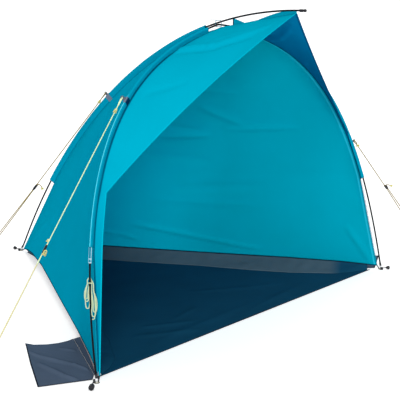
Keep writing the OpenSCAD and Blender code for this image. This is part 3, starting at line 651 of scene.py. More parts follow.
def bottom_shift(u):
    """How far the bottom seam lies above and inside the straight line between its corners."""
    rise = np.interp(u, BOTTOM_CUT[:, 0], BOTTOM_CUT[:, 1])[..., None]
    bow = np.interp(u, BOTTOM_CUT[:, 0], BOTTOM_CUT[:, 2])[..., None]
    return rise * np.array([0, 0, 1.0]) - bow * chord_out


def hump(u):
    """4 u (1 - u): nothing at both ends and 1 in the middle."""
    return 4 * u * (1 - u)


def shares(rows, cols):
    """Two grids: u runs from 0 to 1 along the columns and v up the rows."""
    return np.meshgrid(np.linspace(0, 1, cols), np.linspace(0, 1, rows))


# %% Folds
def crease(u, v, start, end, width, height):
    """A ridge from start to end on the cloth: height exp(-(distance / width)^2), fading at its ends."""
    start, end = np.array(start, float), np.array(end, float)
    along = end - start
    length = np.hypot(*along)
    along = along / length
    t = ((u - start[0]) * along[0] + (v - start[1]) * along[1]) / length
    d = (u - start[0]) * -along[1] + (v - start[1]) * along[0]
    taper = np.clip(hump(np.clip(t, 0, 1)), 0, 1) ** 0.5
    return height * taper * np.exp(-(d / width) ** 2)


def ripple(u, v, seed, scale, octaves=3):
    """Soft irregular waves: a sum of sines with seeded directions and phases, finer ones lower."""
    rng = np.random.default_rng(seed)
    total = np.zeros_like(u)
    for k in range(octaves):
        for _ in range(4):
            angle, phase = rng.uniform(0, TURN, 2)
            wave = scale * 2**k * rng.uniform(0.7, 1.3)
            total += np.sin(TURN * wave * (u * math.cos(angle) + v * math.sin(angle)) + phase) / 2**k
    return total / 4


def normals(grid):
    """Unit normals of a grid of points, from the differences between neighbours."""
    return unit(np.cross(np.gradient(grid, axis=0), np.gradient(grid, axis=1)))


def steps(grid, axis):
    """Distances between neighbours, along the rows (axis 1) or up the columns (axis 0)."""
    return np.linalg.norm(np.diff(grid, axis=axis), axis=2)


def lengths(grid, axis):
    """Running length from the first column (axis 1) or from the lowest row (axis 0)."""
    return np.insert(np.cumsum(steps(grid, axis), axis), 0, 0, axis=axis)


def cut_map(grid):
    """Metres along the cloth: running length along each row, and up each column's average."""
    across = lengths(grid, 1)
    up = np.insert(np.cumsum(steps(grid, 0).mean(1)), 0, 0)
    return np.stack([across - across[:, -1:] / 2, up[:, None] * np.ones(grid.shape[1])], -1)


def border(grid, *sides):
    """Metres along the cloth to the nearest named side: first or last column, low or high row."""
    across, up = lengths(grid, 1), lengths(grid, 0)
    far = {"first": across, "last": across[:, -1:] - across, "low": up, "high": up[-1:] - up}
    return np.min([far[side] for side in sides], 0)


def panel(name, grid, thickness=0.0007, inner=0, **marks):
    """A sheet through a grid, given its thickness by Solidify; inner moves the far face's material.

    Each mark is a number for each point, kept as an attribute for the finish to read.
    """
    rows, cols = grid.shape[:2]
    obj = mesh_object(name, grid, grid_faces(rows, cols), cut_map(grid))
    for key, value in marks.items():
        obj.data.attributes.new(key, "FLOAT", "POINT").data.foreach_set("value", value.ravel())
    skin = obj.modifiers.new("thickness", "SOLIDIFY")
    skin.thickness, skin.offset, skin.material_offset = thickness, 0, inner
    return obj


def area(grid):
    """Half the cross product of each cell's diagonals, summed."""
    diagonals = np.cross(grid[1:, 1:] - grid[:-1, :-1], grid[1:, :-1] - grid[:-1, 1:])
    return float(np.linalg.norm(diagonals, axis=-1).sum() / 2)


def sewn(name, grid, finish, slot, held, rests_on, body="shelter", **marks):
    """A panel named after its node: dressed and set on its body."""
    piece = panel(name + "_cloth", grid, **marks)
    settle(piece, finish, [name], body)
    return piece


def on_side(grid, side):
    """The left side's grid; or mirrored across X = 0, its columns reversed so that faces keep their side."""
    return grid if side == "left" else (grid * [-1, 1, 1])[:, ::-1]


FIRST = {"left": "first", "right": "last"}
LAST = {"left": "last", "right": "first"}


# %% [markdown]
# ## Walls
# Each wall is stretched between the arch seam and the spine seam. A point of it mixes the two
# seam points at the same share of their length, the bottom seam lifts its lowest rows, and the
# cloth bows in by a centimetre. Creases start where the cloth is held hardest. The wall's
# first column lies at the arch on the left side, and its last one does on the right side.

# %% Wall surface
WALL_SAG = 0.01
WALL_INWARD = unit([0.8, -0.35, -0.4])


def wall_grid(rows=170, cols=150):
    """Mix of the two seams, plus the bottom rise that fades upwards, plus a bow inwards."""
    u, v = shares(rows, cols)
    front = seam(arch, CORNER_S + (arch_mid - SEAM_STOP - CORNER_S) * v[:, 0]) - SEAM_OFF * arch_face
    back = seam(spine, CORNER_S + (s_hub - SEAM_STOP - CORNER_S) * v[:, 0]) - [SEAM_OFF, 0, 0]
    grid = mixed(front[:, None], back[:, None], u)
    grid += (1 - v)[..., None] * bottom_shift(u)
    grid += (WALL_SAG * hump(u) * hump(v))[..., None] * WALL_INWARD
    return grid, u, v


wall_flat, wall_u, wall_v = wall_grid()
print("wall area", round(area(wall_flat), 3))


# %% Wall relief
def edge_fade(u, v, inset=0.06):
    """1 inside the panel, falling smoothly to 0 at its four edges."""
    near = np.minimum(np.minimum(u, 1 - u), np.minimum(v, 1 - v)) / inset
    near = np.clip(near, 0, 1)
    return near * near * (3 - 2 * near)


def creased(u, v, creases):
    """All the creases of a panel together; each is (start, end, width, height) in its own u and v."""
    return sum(crease(u, v, *c) for c in creases)


def wall(side, finish, u, creases, wave, seed, scale, inset):
    """The flat wall raised along its normals by waves and creases, turned to its side and sewn in."""
    folds = wave * ripple(wall_u, wall_v, seed, scale) + 0.0008 * ripple(wall_u, wall_v, seed + 1, 4)
    relief = (folds + creased(u, wall_v, creases)) * edge_fade(wall_u, wall_v, inset)
    shape = on_side(wall_flat + relief[..., None] * normals(wall_flat), side)
    sewn(side + "_wall", shape, finish, "teal_fabric", "stretched", ["arch_sleeve_" + side, "spine_sleeve"],
         hem=border(shape, "low"), side=border(shape, FIRST[side]))


# %% Left wall
LEFT_CREASES = [
    ((0.0, 0.6), (0.1, 0.44), 0.01, 0.0065), ((0.0, 0.58), (0.22, 0.36), 0.014, 0.0052),
    ((0.02, 0.02), (0.1, 0.22), 0.012, 0.0057), ((0.95, 0.03), (0.8, 0.16), 0.012, 0.0052),
]
wall("left", teal, wall_u, LEFT_CREASES, 0.0025, 3, 1.2, 0.03)

# %% Right wall
RIGHT_CREASES = [
    ((0.3, 0.404), (0.5, 0.404), 0.01, -0.009), ((0.3, 0.45), (0.47, 0.42), 0.008, 0.006),
    ((0.44, 0.52), (0.63, 0.435), 0.01, -0.0078), ((0.56, 0.424), (0.84, 0.42), 0.008, -0.0066),
    ((0.3, 0.088), (0.47, 0.06), 0.0065, -0.009), ((0.43, 0.066), (0.68, 0.024), 0.006, -0.0084),
    ((0.2, 0.062), (0.33, 0.034), 0.006, -0.0084), ((0.29, 0.04), (0.39, 0.006), 0.006, -0.0072),
    ((0.25, 0.05), (0.4, 0.006), 0.005, 0.0078), ((0.93, 0.115), (0.99, 0.004), 0.008, -0.009),
    ((0.4, 0.215), (0.7, 0.232), 0.012, 0.0042), ((0.28, 0.335), (0.52, 0.31), 0.012, 0.0036),
    ((0.33, 0.176), (0.69, 0.164), 0.012, -0.0036), ((0.35, 0.6), (0.62, 0.56), 0.012, -0.0042),
]
wall("right", teal_inside_painted_light, 1 - wall_u, RIGHT_CREASES, 0.003, 13, 1.1, 0.02)

# %% [markdown]
# ## Visor
# In front of the arch two panels meet in a ridge under the spine pole and run out to a peak.
# Below its lower corners each panel narrows to a hem strip beside the pole.

# %% Visor surface
CORNER_RISE = 0.74
STRIP_W, STRIP_FULL = 0.034, 0.5
STRIP_DIR = unit([0.76, -0.65, 0])
rise_of = (half - left_foot) @ lean
s_corner = float(np.interp(CORNER_RISE, rise_of, arch.run[:len(half)]))
CORNER_REACH, TIP_BACK, RIDGE_AHEAD, RIDGE_BELOW = [0.014, -0.026, 0], 0.042, 0.012, 0.011
visor_corner = seam(arch, [s_corner])[0] + CORNER_REACH
visor_tip = spine.at([spine.length - TIP_BACK])[0] - [0, 0, RIDGE_BELOW]
ridge_start = apex - [0, RIDGE_AHEAD, RIDGE_BELOW]
VISOR_BOW = np.array([0, 0.023, 0.021])


def strip_edge(s):
    """The hem strip's free edge: the seam moved inwards and forwards, drawn to the visor's corner."""
    u = (s - CORNER_S) / (s_corner - CORNER_S)
    width = np.minimum(1, 0.2 + 0.8 * (s - CORNER_S) / (STRIP_FULL - CORNER_S)) * STRIP_W
    beside = seam(arch, s) + width[:, None] * STRIP_DIR
    return mixed(beside, visor_corner, u**6)


def visor_grid(strip_rows=50, rows=90, cols=60):
    """Rows from the arch seam to the free edge; the last row is the ridge under the spine pole."""
    across = np.linspace(0, 1, cols)
    s = np.linspace(CORNER_S, s_corner, strip_rows, endpoint=False)
    strip = mixed(seam(arch, s)[:, None], strip_edge(s)[:, None], across)
    u = np.linspace(0, 1, rows)
    inner = seam(arch, s_corner + (arch_mid - SEAM_STOP - s_corner) * u) + SEAM_OFF * arch_face
    inner = mixed(inner, ridge_start - [SEAM_OFF, 0, 0], u**16)
    edge = mixed(visor_corner, visor_tip - [SEAM_OFF, 0, 0], u) + hump(u)[:, None] * VISOR_BOW
    edge += ((1 - u) * SEAM_OFF)[:, None] * arch_face
    main = mixed(inner[:, None], edge[:, None], across)
    grid = np.concatenate([strip + SEAM_OFF * arch_face, main])
    v = np.concatenate([np.linspace(-1, 0, strip_rows, endpoint=False), u])
    return grid, *np.meshgrid(across, v)


visor_flat, visor_u, visor_v = visor_grid()
VISOR_CREASES = [
    ((0.0, 0.735), (0.42, 0.785), 0.022, 0.012), ((0.36, 0.775), (0.85, 0.925), 0.022, 0.009),
    ((0.05, 0.712), (0.55, 0.77), 0.016, -0.009), ((0.45, 0.76), (0.82, 0.86), 0.016, -0.0066),
    ((0.28, 0.825), (0.62, 0.895), 0.016, 0.0072), ((0.15, 0.44), (0.66, 0.545), 0.022, -0.0048),
]
lift = 0.0022 * ripple(visor_u, visor_v, 51, 1.0) + creased(visor_u, visor_v, VISOR_CREASES)
lift *= edge_fade(visor_u, (visor_v + 1) / 2, 0.04) * np.clip(visor_v * 8, 0, 1)
visor_flat = visor_flat - lift[..., None] * normals(visor_flat)
for side in ("left", "right"):
    shape = on_side(visor_flat, side)
    piece = sewn("visor_" + side, shape, visor_teal, "teal_fabric", "stretched",
                 ["arch_sleeve_" + side, "tip_pocket"], inner=1,
                 side=border(shape, FIRST[side]), hem=border(shape, LAST[side]))
    # The far face takes the underside's painted shade.
    piece.data.materials.append(visor_underside_shade)

# %% [markdown]
# ## Sleeves
# A sleeve is a strip of cloth folded round the pole and sewn along the seam. Its section is
# a drop: an arc over the pole that closes to a flat tail. The drop is carried along the pole,
# with soft cross wrinkles where the strip is a little too long for the bend.


# %% Sleeve builder
def drop(half, top, tail):
    """Points (across, towards the seam): an arc from -112 to 112 degrees, then the tail's two edges."""
    a = np.radians(np.linspace(-112, 112, 21))
    arc = np.stack([half * np.sin(a), -top * np.cos(a)], 1)
    shoulder = arc[-1] * [0.45, 1.0] + [0, 0.45 * (tail - arc[-1][1])]
    right = np.array([shoulder, [0.0011, tail * 0.86], [0.0009, tail]])
    return np.concatenate([arc, right, right[::-1] * [-1, 1]])


def carried(path, ref, s, outline, swell=1.0):
    """The outline's first axis lies along ref, its second square to ref and to the path."""
    p, along = path.at(s), path.heading(s)
    first = unit(ref - (along @ np.asarray(ref, float))[:, None] * along)
    second = np.cross(along, first)
    swell = np.broadcast_to(swell, (len(s), len(outline)))
    return (p[:, None] + (swell * outline[:, 0])[..., None] * first[:, None]
            + (swell * outline[:, 1])[..., None] * second[:, None])


HEM_SWELL, HEM_FADE = 0.05, 0.012


def sleeve(name, path, ref, span, outline, seed, rows=260):
    """A drop section along the pole, with wrinkles across it and a hem that swells at both ends."""
    s = np.linspace(*span, rows)
    u, length = np.meshgrid(np.linspace(0, 1, len(outline)), s - span[0])
    wave = 0.035 * ripple(length, u * 0.2, seed, 9.0)
    wave += 0.02 * ripple(length, u * 0.05, seed + 1, 38.0, 2)
    ends = np.exp(-np.minimum(length, span[1] - span[0] - length) / HEM_FADE)
    grid = carried(path, ref, s, outline, 1 + wave + HEM_SWELL * ends)
    uv = np.stack(np.meshgrid(running(outline), s - span[0]), -1)
    obj = mesh_object(name, grid, grid_faces(rows, len(outline), wrap=True), uv)
    skin = obj.modifiers.new("thickness", "SOLIDIFY")
    skin.thickness, skin.offset = 0.0006, -1
    return obj


SLEEVE_HALF, SPINE_TOP = 0.0066, 0.0094
ARCH_TAIL, SPINE_TAIL = ARCH_GAP + 0.003, SPINE_GAP + 0.003
CROWN, STITCHED = 10, 23
# SHADED_SLEEVE_BLUE is the teal cloth set darker, painted shade that keeps the lit sleeves at the walls'
# tone.
SHADED_SLEEVE_BLUE = (0.0, 0.31, 0.47)
SLEEVES = {
    "arch_sleeve_left": (arch, arch_face, (0.538, arch_mid - 0.074), SLEEVE_HALF, ARCH_TAIL),
    "arch_sleeve_right": (arch, arch_face, (arch_mid + 0.114, arch.length - 0.49), SLEEVE_HALF, ARCH_TAIL),
    "spine_sleeve": (spine, (-1, 0, 0), (0.502, s_hub - 0.079), SPINE_TOP, SPINE_TAIL),
}
for seed, (name, (path, ref, span, top, tail)) in enumerate(SLEEVES.items()):
    outline = drop(SLEEVE_HALF, top, tail)
    girth = running(outline)
    crown, stitched = float(girth[CROWN]), float(girth[STITCHED])
    # The dark band along the stitched tail is painted shade in the valley beside the pole, fainter on the
    # spine. On the left arch sleeve a pale band beside the crown is a painted highlight where the pole
    # presses the cloth out, and both stay on that sleeve's lower part.
    lines = [("u", stitched, 0.009, 0.4, DEEP if path is arch else (0.0, 0.22, 0.35))]
    if name == "arch_sleeve_left":
        lines = [("u", crown + 0.0025, 0.0016, 0.3, (0.1, 0.7, 0.86)), ("v", 1.4, 0.77, 0.05, SHADED_SLEEVE_BLUE),
                 *lines, ("v", 1.4, 0.47, 0.15, SHADED_SLEEVE_BLUE)]
    finish = cloth(name + " cloth", SHADED_SLEEVE_BLUE, glow=0.1, bands=lines)
    piece = sleeve(name + "_cloth", path, ref, span, outline, seed + 20)
    settle(piece, finish, [name])
    print(name, "length", round(span[1] - span[0], 3), "strip width", round(float(girth[-1]), 3))

# %% [markdown]
# ## Webbing bands and the web at the tip
# Each guy tab is sewn on by a band of webbing that goes once round its sleeve, so it is the
# sleeve's own drop section made a little larger. At the peak an upright web of cloth fills the
# space between the visor's ridge and the spine pole, cut to a curve along its top.

# %% Webbing bands
WEBBING_GREY = (0.15, 0.19, 0.26)
BAND_OVER, BAND_HALF = 0.0016, 0.014
plain_webbing = cloth("grey webbing band", WEBBING_GREY, pitch=0.002)
edged_webbing = cloth("dark edged webbing band", WEBBING_GREY, pitch=0.002,
                      bands=[("u", 0.036, 0.014, 0.3, (0.0, 0.03, 0.08))])
BANDS = {"left": ("arch_sleeve_left", edged_webbing), "rear": ("spine_sleeve", plain_webbing)}
for side, (name, finish) in BANDS.items():
    path, ref, span, top, tail = SLEEVES[name]
    tab = np.array(LINE_POINTS[side][TAB_TOP]) / 1000
    s_tab = path.run[np.linalg.norm(path.points - tab, axis=1).argmin()]
    outline = drop(SLEEVE_HALF + BAND_OVER, top + BAND_OVER, tail + 0.001)
    piece = sleeve("guy_band_" + side, path, ref, (s_tab - BAND_HALF, s_tab + BAND_HALF), outline, 70, 20)
    settle(piece, finish)
    print("webbing band", side, "at", round(float(s_tab), 3))

# %% Web under the spine pole
WEB_BELOW, WEB_ASIDE = 0.25, 0.0012
# share of the ridge, share of the way up to the pole
WEB_RISE = np.array([(0.17, 0.95), (0.20, 0.85), (0.33, 0.0), (0.5, 0.05), (0.84, 0.9), (1.0, 0.9)])
share = np.linspace(WEB_RISE[0, 0], 1, 90)
ridge = mixed(ridge_start, visor_tip, share)
order = np.argsort(spine.points[:, 1])
under = between(ridge[:, 1], spine.points[order, 1], spine.points[order])
height = np.interp(share, WEB_RISE[:, 0], WEB_RISE[:, 1])
web_up = np.linspace(-WEB_BELOW, 1, 14)
web = mixed(ridge[None], under[None], np.where(web_up < 0, web_up, web_up * height[:, None]).T)[::-1]
web[..., 0] -= WEB_ASIDE
web_piece = panel("tip_web", web, side=border(web, "first"))
web_cloth = cloth("web polyester", (0.0, 0.27, 0.40), bands=[("side", 0, 0.007, 0.3, BLACK)])
settle(web_piece, web_cloth, ["tip_pocket"])
print("web", web.shape)

# %% [markdown]
# ## Floor
# The groundsheet lies flat between the three feet and narrows behind the front corners. A
# sloped grey edge joins its sides to the bottom seam of each wall. The edge is a strip mixed
# from the floor's side and the seam, and it gets short puckers, as a sewn strip has.

# %% Floor outline
EDGE_START, FLOOR_END, EDGE_END = 0.064, 1.858, 1.846
FLOOR_NOSE, FLOOR_UP = [0.042, 0.034, 0], 0.002
# metres along the side, metres inside the line from foot to foot
FLOOR_INSET = np.array([
    (0.064, 0.027), (0.14, 0.084), (0.226, 0.122), (0.45, 0.148), (0.65, 0.141), (0.92, 0.113),
    (1.29, 0.104), (1.6, 0.082), (1.78, 0.046), (1.858, 0.024)])


def on_ground(h, out):
    """A point on the ground: h along the line from the left foot to the rear foot, out beside it."""
    h, out = np.asarray(h, float)[..., None], np.asarray(out, float)[..., None]
    return left_foot + h * chord + out * chord_out


def floor_side(h):
    """The floor's left side, h metres along the line from foot to foot."""
    return on_ground(h, -np.interp(h, FLOOR_INSET[:, 0], FLOOR_INSET[:, 1]))


def floor_grid(rows=180, cols=170):
    """Rows of equal y from the left side to the right side."""
    h = np.linspace(EDGE_START, FLOOR_END, 200)
    side = np.concatenate([[left_foot + FLOOR_NOSE], floor_side(h)])
    order = np.argsort(side[:, 1])
    y = np.linspace(side[:, 1].min(), side[:, 1].max(), rows)
    x = np.interp(y, side[order, 1], side[order, 0])
    u = np.linspace(-1, 1, cols)
    return np.stack([-x[:, None] * u, y[:, None] * np.ones(cols), np.zeros((rows, cols))], -1)


floor_flat = floor_grid()
floor_u, floor_v = shares(*floor_flat.shape[:2])
FLOOR_CREASES = [
    ((0.1, 0.142), (0.34, 0.032), 0.012, 0.006), ((0.16, 0.176), (0.35, 0.1), 0.01, 0.005),
    ((0.3, 0.15), (0.45, 0.176), 0.01, 0.004), ((0.12, 0.062), (0.64, 0.076), 0.016, 0.004),
    ((0.47, 0.03), (0.86, 0.076), 0.014, 0.004), ((0.55, 0.3), (0.85, 0.12), 0.02, 0.0035),
]
relief = 0.0006 * ripple(floor_u, floor_v, 31, 2.0) + creased(floor_u, floor_v, FLOOR_CREASES)
floor_flat[..., 2] = FLOOR_UP + np.abs(relief) * edge_fade(floor_u, floor_v, 0.02)
sewn("floor", floor_flat, navy, "navy_fabric", "laid", ["corner_tab_left", "corner_tab_right"],
     thickness=0.001, hem=border(floor_flat, "low"))

# %% Sloped floor edges
EDGE_LAP, SEAM_FIRST, SEAM_REST = 0.004, 0.018, 0.019
EDGE_FOOT_UP, EDGE_TOP_SHIFT, EDGE_SLACK = 0.0034, [0.0018, -0.0009, 0.004], 0.03


def bottom_seam(u):
    """The wall's bottom seam: straight from corner to corner, plus its rise."""
    u = np.asarray(u, float)
    return mixed(front_corner, rear_corner, u) + bottom_shift(u)


def edge_grid(rows=260, cols=16):
    """From the floor's side up to just inside the bottom seam, with a little slack and puckers."""
    h = np.linspace(EDGE_START + 0.004, EDGE_END, rows)
    inner = floor_side(h) - EDGE_LAP * chord_out + [0, 0, EDGE_FOOT_UP]
    share = np.maximum(0, (h - SEAM_FIRST) / (chord_len - SEAM_FIRST - SEAM_REST))
    outer = bottom_seam(share) + EDGE_TOP_SHIFT
    v = np.linspace(0, 1, cols)
    grid = mixed(inner[:, None], outer[:, None], v)
    width = np.linalg.norm(outer - inner, axis=1)[:, None]
    grid[..., 2] -= EDGE_SLACK * v * hump(v) * width
    u = (h / h[-1])[:, None] * np.ones(cols)
    puckers = 0.0036 * ripple(u * 9, v * 0.4, 61, 1.1)
    puckers += 0.0028 * ripple(u * 22, v * 0.5, 62, 1.0, 2)
    grid[..., 2] += puckers * hump(v)
    return grid


left_edge = edge_grid()
for side, finish in (("left", grey_left), ("right", grey_right)):
    shape = on_side(left_edge, side)
    sewn("floor_edge_" + side, shape, finish, "grey_edge", "stretched", ["floor", side + "_wall"],
         hem=border(shape, LAST[side]))

# %% [markdown]
# ## Sand flaps
# A loose flap is sewn along the bottom of each side wall by the front foot. It is a patch
# between four drawn sides, lying on the ground, with broad folds. A narrow skirt closes the
# gap between the flap's seam and the bottom of the wall.

# %% Flap surface
FLAP_LEN, FLAP_W, FLAP_AXIS, FLAP_UP = 0.484, 0.232, -0.006, 0.0016
FLAP_FRONT = np.array([(0.08, FLAP_AXIS), (0.032, 0.011), (0.02, FLAP_W)])
FLAP_BACK = np.array([
    (FLAP_LEN + 0.022, FLAP_AXIS), (FLAP_LEN + 0.003, 0.024), (FLAP_LEN - 0.01, 0.064),
    (FLAP_LEN - 0.013, FLAP_W - 0.118), (FLAP_LEN, FLAP_W - 0.062), (FLAP_LEN + 0.028, FLAP_W - 0.03)])
FLAP_OUT = np.array([(0.02, FLAP_W), (0.27, FLAP_W - 0.012), (FLAP_LEN + 0.028, FLAP_W - 0.03)])


def evenly(line, t):
    """Points at the shares t of a drawn line's own length."""
    run = running(line)
    return between(t * run[-1], run, line)


def flap_grid(rows=60, cols=110):
    """A four-sided patch: sides mixed by u and v, minus the bilinear patch of the corners."""
    u, v = np.linspace(0, 1, cols), np.linspace(0, 1, rows)
    front, back, outer = evenly(FLAP_FRONT, v), evenly(FLAP_BACK, v), evenly(FLAP_OUT, u)
    inner = mixed(FLAP_FRONT[0], FLAP_BACK[0], u)
    across = mixed(front[:, None], back[:, None], u)
    upward = mixed(inner[None], outer[None], v[:, None])
    low, high = mixed(inner[0], inner[-1], u), mixed(outer[0], outer[-1], u)
    flat = across + upward - mixed(low[None], high[None], v[:, None])
    return on_ground(flat[..., 0], flat[..., 1])


flap_shape = flap_grid()
flap_u, flap_v = shares(*flap_shape.shape[:2])
FLAP_CREASES = [
    ((0.8, 0.97), (0.38, 0.26), 0.035, 0.0092), ((0.42, 0.32), (0.17, 0.08), 0.03, 0.007),
    ((0.52, 0.86), (0.19, 0.55), 0.04, 0.0088), ((0.22, 0.6), (0.02, 0.38), 0.035, 0.0075),
    ((0.86, 0.4), (0.7, 0.1), 0.03, 0.0048),
]
relief = 0.0008 * ripple(flap_u * 2, flap_v, 41, 2.2) + creased(flap_u, flap_v, FLAP_CREASES)
flap_shape[..., 2] = FLAP_UP + np.abs(relief) * np.clip(edge_fade(flap_u, flap_v, 0.03) + 0.1, 0, 1)
for side in ("left", "right"):
    shape = on_side(flap_shape, side)
    sewn("sand_flap_" + side, shape, slate, "grey_flap", "laid", [side + "_wall"], "flap_" + side,
         hem=border(shape, "first", "last", "high"))

# %% Flap skirts
SKIRT_GAP, SKIRT_INSIDE, SKIRT_FOOT_UP = 0.0038, 0.0011, 0.0018
SKIRT_TOP_END, SKIRT_FOOT_END, SKIRT_TOP_UP = 0.41, 0.506, 0.005
SKIRTS = {"left": (0.044, skirt_slate, ["flap_skirts"]), "right": (0.075, navy, [])}


def skirt_grid(start, rows=14, cols=110):
    """From just over the wall's bottom seam down to the ground, just inside the flap's seam."""
    upper, lower = np.linspace([start, start], [SKIRT_TOP_END, SKIRT_FOOT_END], cols).T
    share = (upper - SEAM_FIRST) / (chord_len - SEAM_FIRST - SEAM_REST)
    top = bottom_seam(share) + SKIRT_GAP * chord_out + [0, 0, SKIRT_TOP_UP]
    foot = on_ground(lower, FLAP_AXIS - SKIRT_INSIDE) + [0, 0, SKIRT_FOOT_UP]
    u, v = shares(rows, cols)
    wave = 0.0016 * ripple(u * 2, v * 0.3, 47, 1.5) * hump(v)
    return mixed(foot[None], top[None], v) + wave[..., None] * chord_out


for side, (start, finish, stands_for) in SKIRTS.items():
    shape = on_side(skirt_grid(start), side)
    piece = panel(f"flap_skirt_{side}_cloth", shape, hem=border(shape, "high"))
    settle(piece, finish, stands_for)

# %% [markdown]
# ## Spare cord on the left pole
# Spare cord is looped over the back of the bare pole, in two bunches, and tied. The path is
# planned beside the pole, in metres across it, along it and out from it, and then set on the
# pole by its own three directions.

# %% Spare cord route
HANK_S, HANK_SIDE = 0.345, unit([0.66, -0.75, 0])
HANK_D, FOLD = 0.0042, 0.0062
LEFT_ENDS = [(-0.0160, -0.004), (-0.0098, -0.042), (-0.0130, -0.014)]
RIGHT_ENDS = [(0.0104, -0.086), (0.0186, -0.056), (0.0144, -0.074)]


def fold(x, y, depth, turn):
    """Half a circle of radius FOLD under (x, y), walked from one run to the other."""
    a = np.linspace(0, math.pi, 7)
    return np.stack([x - turn * FOLD * np.cos(a), y - FOLD * np.sin(a), np.full(7, depth)], -1)


def hank_route():
    """Down the left bunch, up and behind the pole, down the right bunch, up and back, three times."""
    parts = []
    for k, ((lx, ly), (rx, ry)) in enumerate(zip(LEFT_ENDS, RIGHT_ENDS)):
        depth, behind, rise = 0.0045 * (k - 1), -0.0078 - 0.0046 * k, 0.003 * k
        parts += [
            [(-0.0105, 0.050, depth * 0.8), (lx - FOLD, 0.012, depth)],
            fold(lx, ly, depth, 1),
            [(lx + FOLD, 0.006, depth), (-0.0050, 0.040, depth * 0.6 + behind * 0.2)],
            [(-0.0030, 0.054, behind * 0.7), (0.0025, 0.063 - rise, behind)],
            [(0.0095, 0.055 - rise, behind * 0.6), (0.0135, 0.024, depth)],
            [(rx + FOLD + 0.0015, -0.022, depth)],
            fold(rx, ry, depth, -1),
            [(rx - FOLD, -0.030, depth), (0.0060, 0.022, depth * 0.8)]]
        if k < 2:
            parts += [[(0.0050, 0.048, behind * 0.7), (-0.0015, 0.069 + rise, behind - 0.0022)],
                      [(-0.0100, 0.066, behind * 0.4)]]
    return np.concatenate([np.array(part, float) for part in parts])


pole_at, pole_up = arch.at([HANK_S])[0], arch.heading(np.array([HANK_S]))[0]
outward = unit(np.cross(HANK_SIDE, pole_up))
pole_frame = np.array([HANK_SIDE, np.cross(outward, HANK_SIDE), outward])
hank_line = smooth(pole_at + hank_route() @ pole_frame)
hank_piece = tube("spare_cord", hank_line, HANK_D / 2, outward + [0.2, 0.1, 0.3], 10)
settle(hank_piece, spare, ["spare_cord_hank"])

# %% Tie round the spare cord
TIE_TURNS, TIE_PITCH, TIE_LOW = 2.5, 0.0011, 0.0505
TIE_WIDE, TIE_DEEP, TIE_BEHIND = 0.011, 0.0125, 0.006
a = np.linspace(0, TIE_TURNS * TURN, 60)
tie_flat = np.stack([
    TIE_WIDE * np.cos(a), TIE_LOW + TIE_PITCH * a / TURN, TIE_DEEP * np.sin(a) - TIE_BEHIND], -1)
tie_line = pole_at + tie_flat @ pole_frame
tie_piece = tube("spare_cord_tie", tie_line, LACE_D / 2, pole_up + [0.1, 0, 0], 8)
settle(tie_piece, spare, ["hank_tie"])

# %% [markdown]
# ## Cuff under the left sleeve
# A short cuff of tape closes the sleeve's lower end, with two pale rails along it and two pale
# rungs. It fits round the pole, so it is a plain tube with the rails and rungs as bands of colour.

# %% Cuff
CUFF, CUFF_R = (0.4745, 0.5365), 0.0062
RAIL, RUNG = (0.45, 0.72, 0.85), (0.6, 0.8, 0.88)
cuff = tube("cuff_tape", arch.at(np.linspace(*CUFF, 40)), CUFF_R, HANK_SIDE, 32)
cuff_finish = cloth("cuff tape", (0.0, 0.20, 0.30), bands=[
    ("u", 0.59, 0.05, 0.2, RAIL), ("u", 0.91, 0.05, 0.2, RAIL),
    ("v", 0.001, 0.002, 0.2, RUNG), ("v", 0.0165, 0.0018, 0.2, RUNG)])
settle(cuff, cuff_finish, ["sleeve_cuff"])
print("cuff from", CUFF[0], "to", CUFF[1], "along the arch")

# %% [markdown]
# ## Small hardware
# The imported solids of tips, eyelets, pegs, runners and webbing already have their real
# shapes, so they keep them and get finishes. Only the left peg's grip is made again, as a
# ribbed barrel that sits a little farther out.

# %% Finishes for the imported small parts
webbing = solid("black webbing", (0.02, 0.024, 0.03), 0.8, gloss=0.1)
tab_web = solid("grey webbing", (0.1, 0.12, 0.15), 0.8, gloss=0.1)
strap_web = solid("teal tape", (0.0, 0.16, 0.24), 0.8, gloss=0.1)
KEPT = {
    tip_metal: ("foot_tip_left", "foot_tip_right", "foot_tip_rear"),
    fibreglass: ("arch_ferrules", "spine_ferrules"),
    wire: ("peg_left", "peg_right", "peg_rear"),
    moulded: ("peg_head_right", "peg_head_rear", "visor_end_cap",
              "runner_left", "runner_right", "runner_rear"),
    dull_brass: ("eyelet_left", "eyelet_right", "eyelet_rear"),
    webbing: ("corner_tab_left", "corner_tab_right", "corner_tab_rear"),
    tab_web: ("guy_tab_left", "guy_tab_right", "guy_tab_rear"),
    strap_web: ("crossing_strap",),
}
for finish, names in KEPT.items():
    for name in names:
        solid_piece = frame["nodes"][name]
        solid_piece.data.materials.clear()
        solid_piece.data.materials.append(finish)
    print(finish.name, "on", len(names))

# %% Left peg's grip
GRIP_SHIFT, GRIP_WAY = [0.0105, 0.0035, 0.0022], unit([-0.813, -0.582, 0])
GRIP_LEN, GRIP_R = 0.026, 0.0112
GRIP_RIBS = np.array([0.8, 0.97, 1, 1, 0.93, 1, 1, 0.93, 1, 1, 0.97, 0.8])
packed = np.array([tuple(v.co) for v in frame["nodes"]["peg_head_left"].data.vertices])
grip_at = (packed.min(0) + packed.max(0)) / 2 + GRIP_SHIFT
grip_line = grip_at + np.linspace(-0.5, 0.5, 12)[:, None] * GRIP_LEN * GRIP_WAY
grip = tube("peg_grip_left", grip_line, GRIP_R * GRIP_RIBS, (0, 0, 1), 28)
settle(grip, moulded, ["peg_head_left"], "peg_left")
print("left grip at", grip_at.round(4))

# %% [markdown]
# ## Ground, backdrop and light
# The shelter stands on pale paper under an even sky. Rays that come straight from the camera,
# off metal or through glass see paper and sky as white, and all other rays see them dimmer, so
# the background stays white and the cloth keeps its own colours.

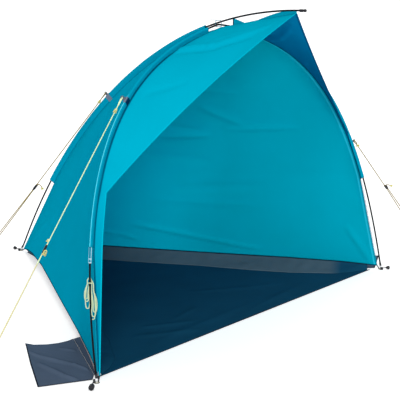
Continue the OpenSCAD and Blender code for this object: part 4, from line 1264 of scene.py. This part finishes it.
# %% Studio
PAPER_HALF, PAPER_DOWN, PAPER, PAPER_GLOW, SKY = 30, 0.0005, 0.86, 0.42, 0.55


def directly_seen(tree):
    """1 for rays from the camera, off metal or through glass, and 0 for the rest."""
    rays = node(tree, "LightPath").outputs
    seen = maths(tree, "MAXIMUM", rays["Is Camera Ray"], rays["Is Glossy Ray"])
    return maths(tree, "MAXIMUM", seen, rays["Is Transmission Ray"])


corners = np.array([(-1, -1), (1, -1), (1, 1), (-1, 1)]) * PAPER_HALF
ground = mesh_object("ground", np.insert(corners * 1.0, 2, -PAPER_DOWN, axis=1), [(0, 1, 2, 3)])
paper, tree, paper_shader = blank("white paper")
plug(tree, paper_shader, {"Base Color": (PAPER, PAPER, PAPER, 1), "Roughness": 1.0,
                          "Specular IOR Level": 0.0})
glow = maths(tree, "MULTIPLY", directly_seen(tree), PAPER_GLOW)
lift = node(tree, "Emission", {"Color": (1, 1, 1, 1), "Strength": glow})
both = node(tree, "AddShader", {0: paper_shader.outputs[0], 1: lift.outputs[0]})
tree.links.new(both.outputs[0], tree.nodes["Material Output"].inputs[0])
ground.data.materials.append(paper)
ground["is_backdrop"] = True
world = bpy.data.worlds.new("studio")
bpy.context.scene.world = world
world.use_nodes = True
tree = world.node_tree
strength = maths(tree, "ADD", maths(tree, "MULTIPLY", directly_seen(tree), 1.0 - SKY), SKY)
plug(tree, tree.nodes["Background"], {0: (1, 1, 1, 1), 1: strength})


def lamp(name, energy, angle, towards):
    """A sun whose light travels along towards."""
    data = bpy.data.lights.new(name, "SUN")
    data.energy, data.angle = energy, angle
    made = bpy.data.objects.new(name, data)
    made.rotation_euler = Vector(towards).to_track_quat("-Z", "Y").to_euler()
    bpy.context.scene.collection.objects.link(made)
    return made


lamp("key", 0.6, 0.5, (0.35, 0.45, -1.0))
lamp("fill", 1.75, 0.35, (0.72, 0.66, -0.25))
lamp("back", 1.6, 1.2, (-0.75, -0.55, -0.35))
bpy.context.scene.view_settings.view_transform = "Standard"

# %% Sizes and finish
low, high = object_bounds()
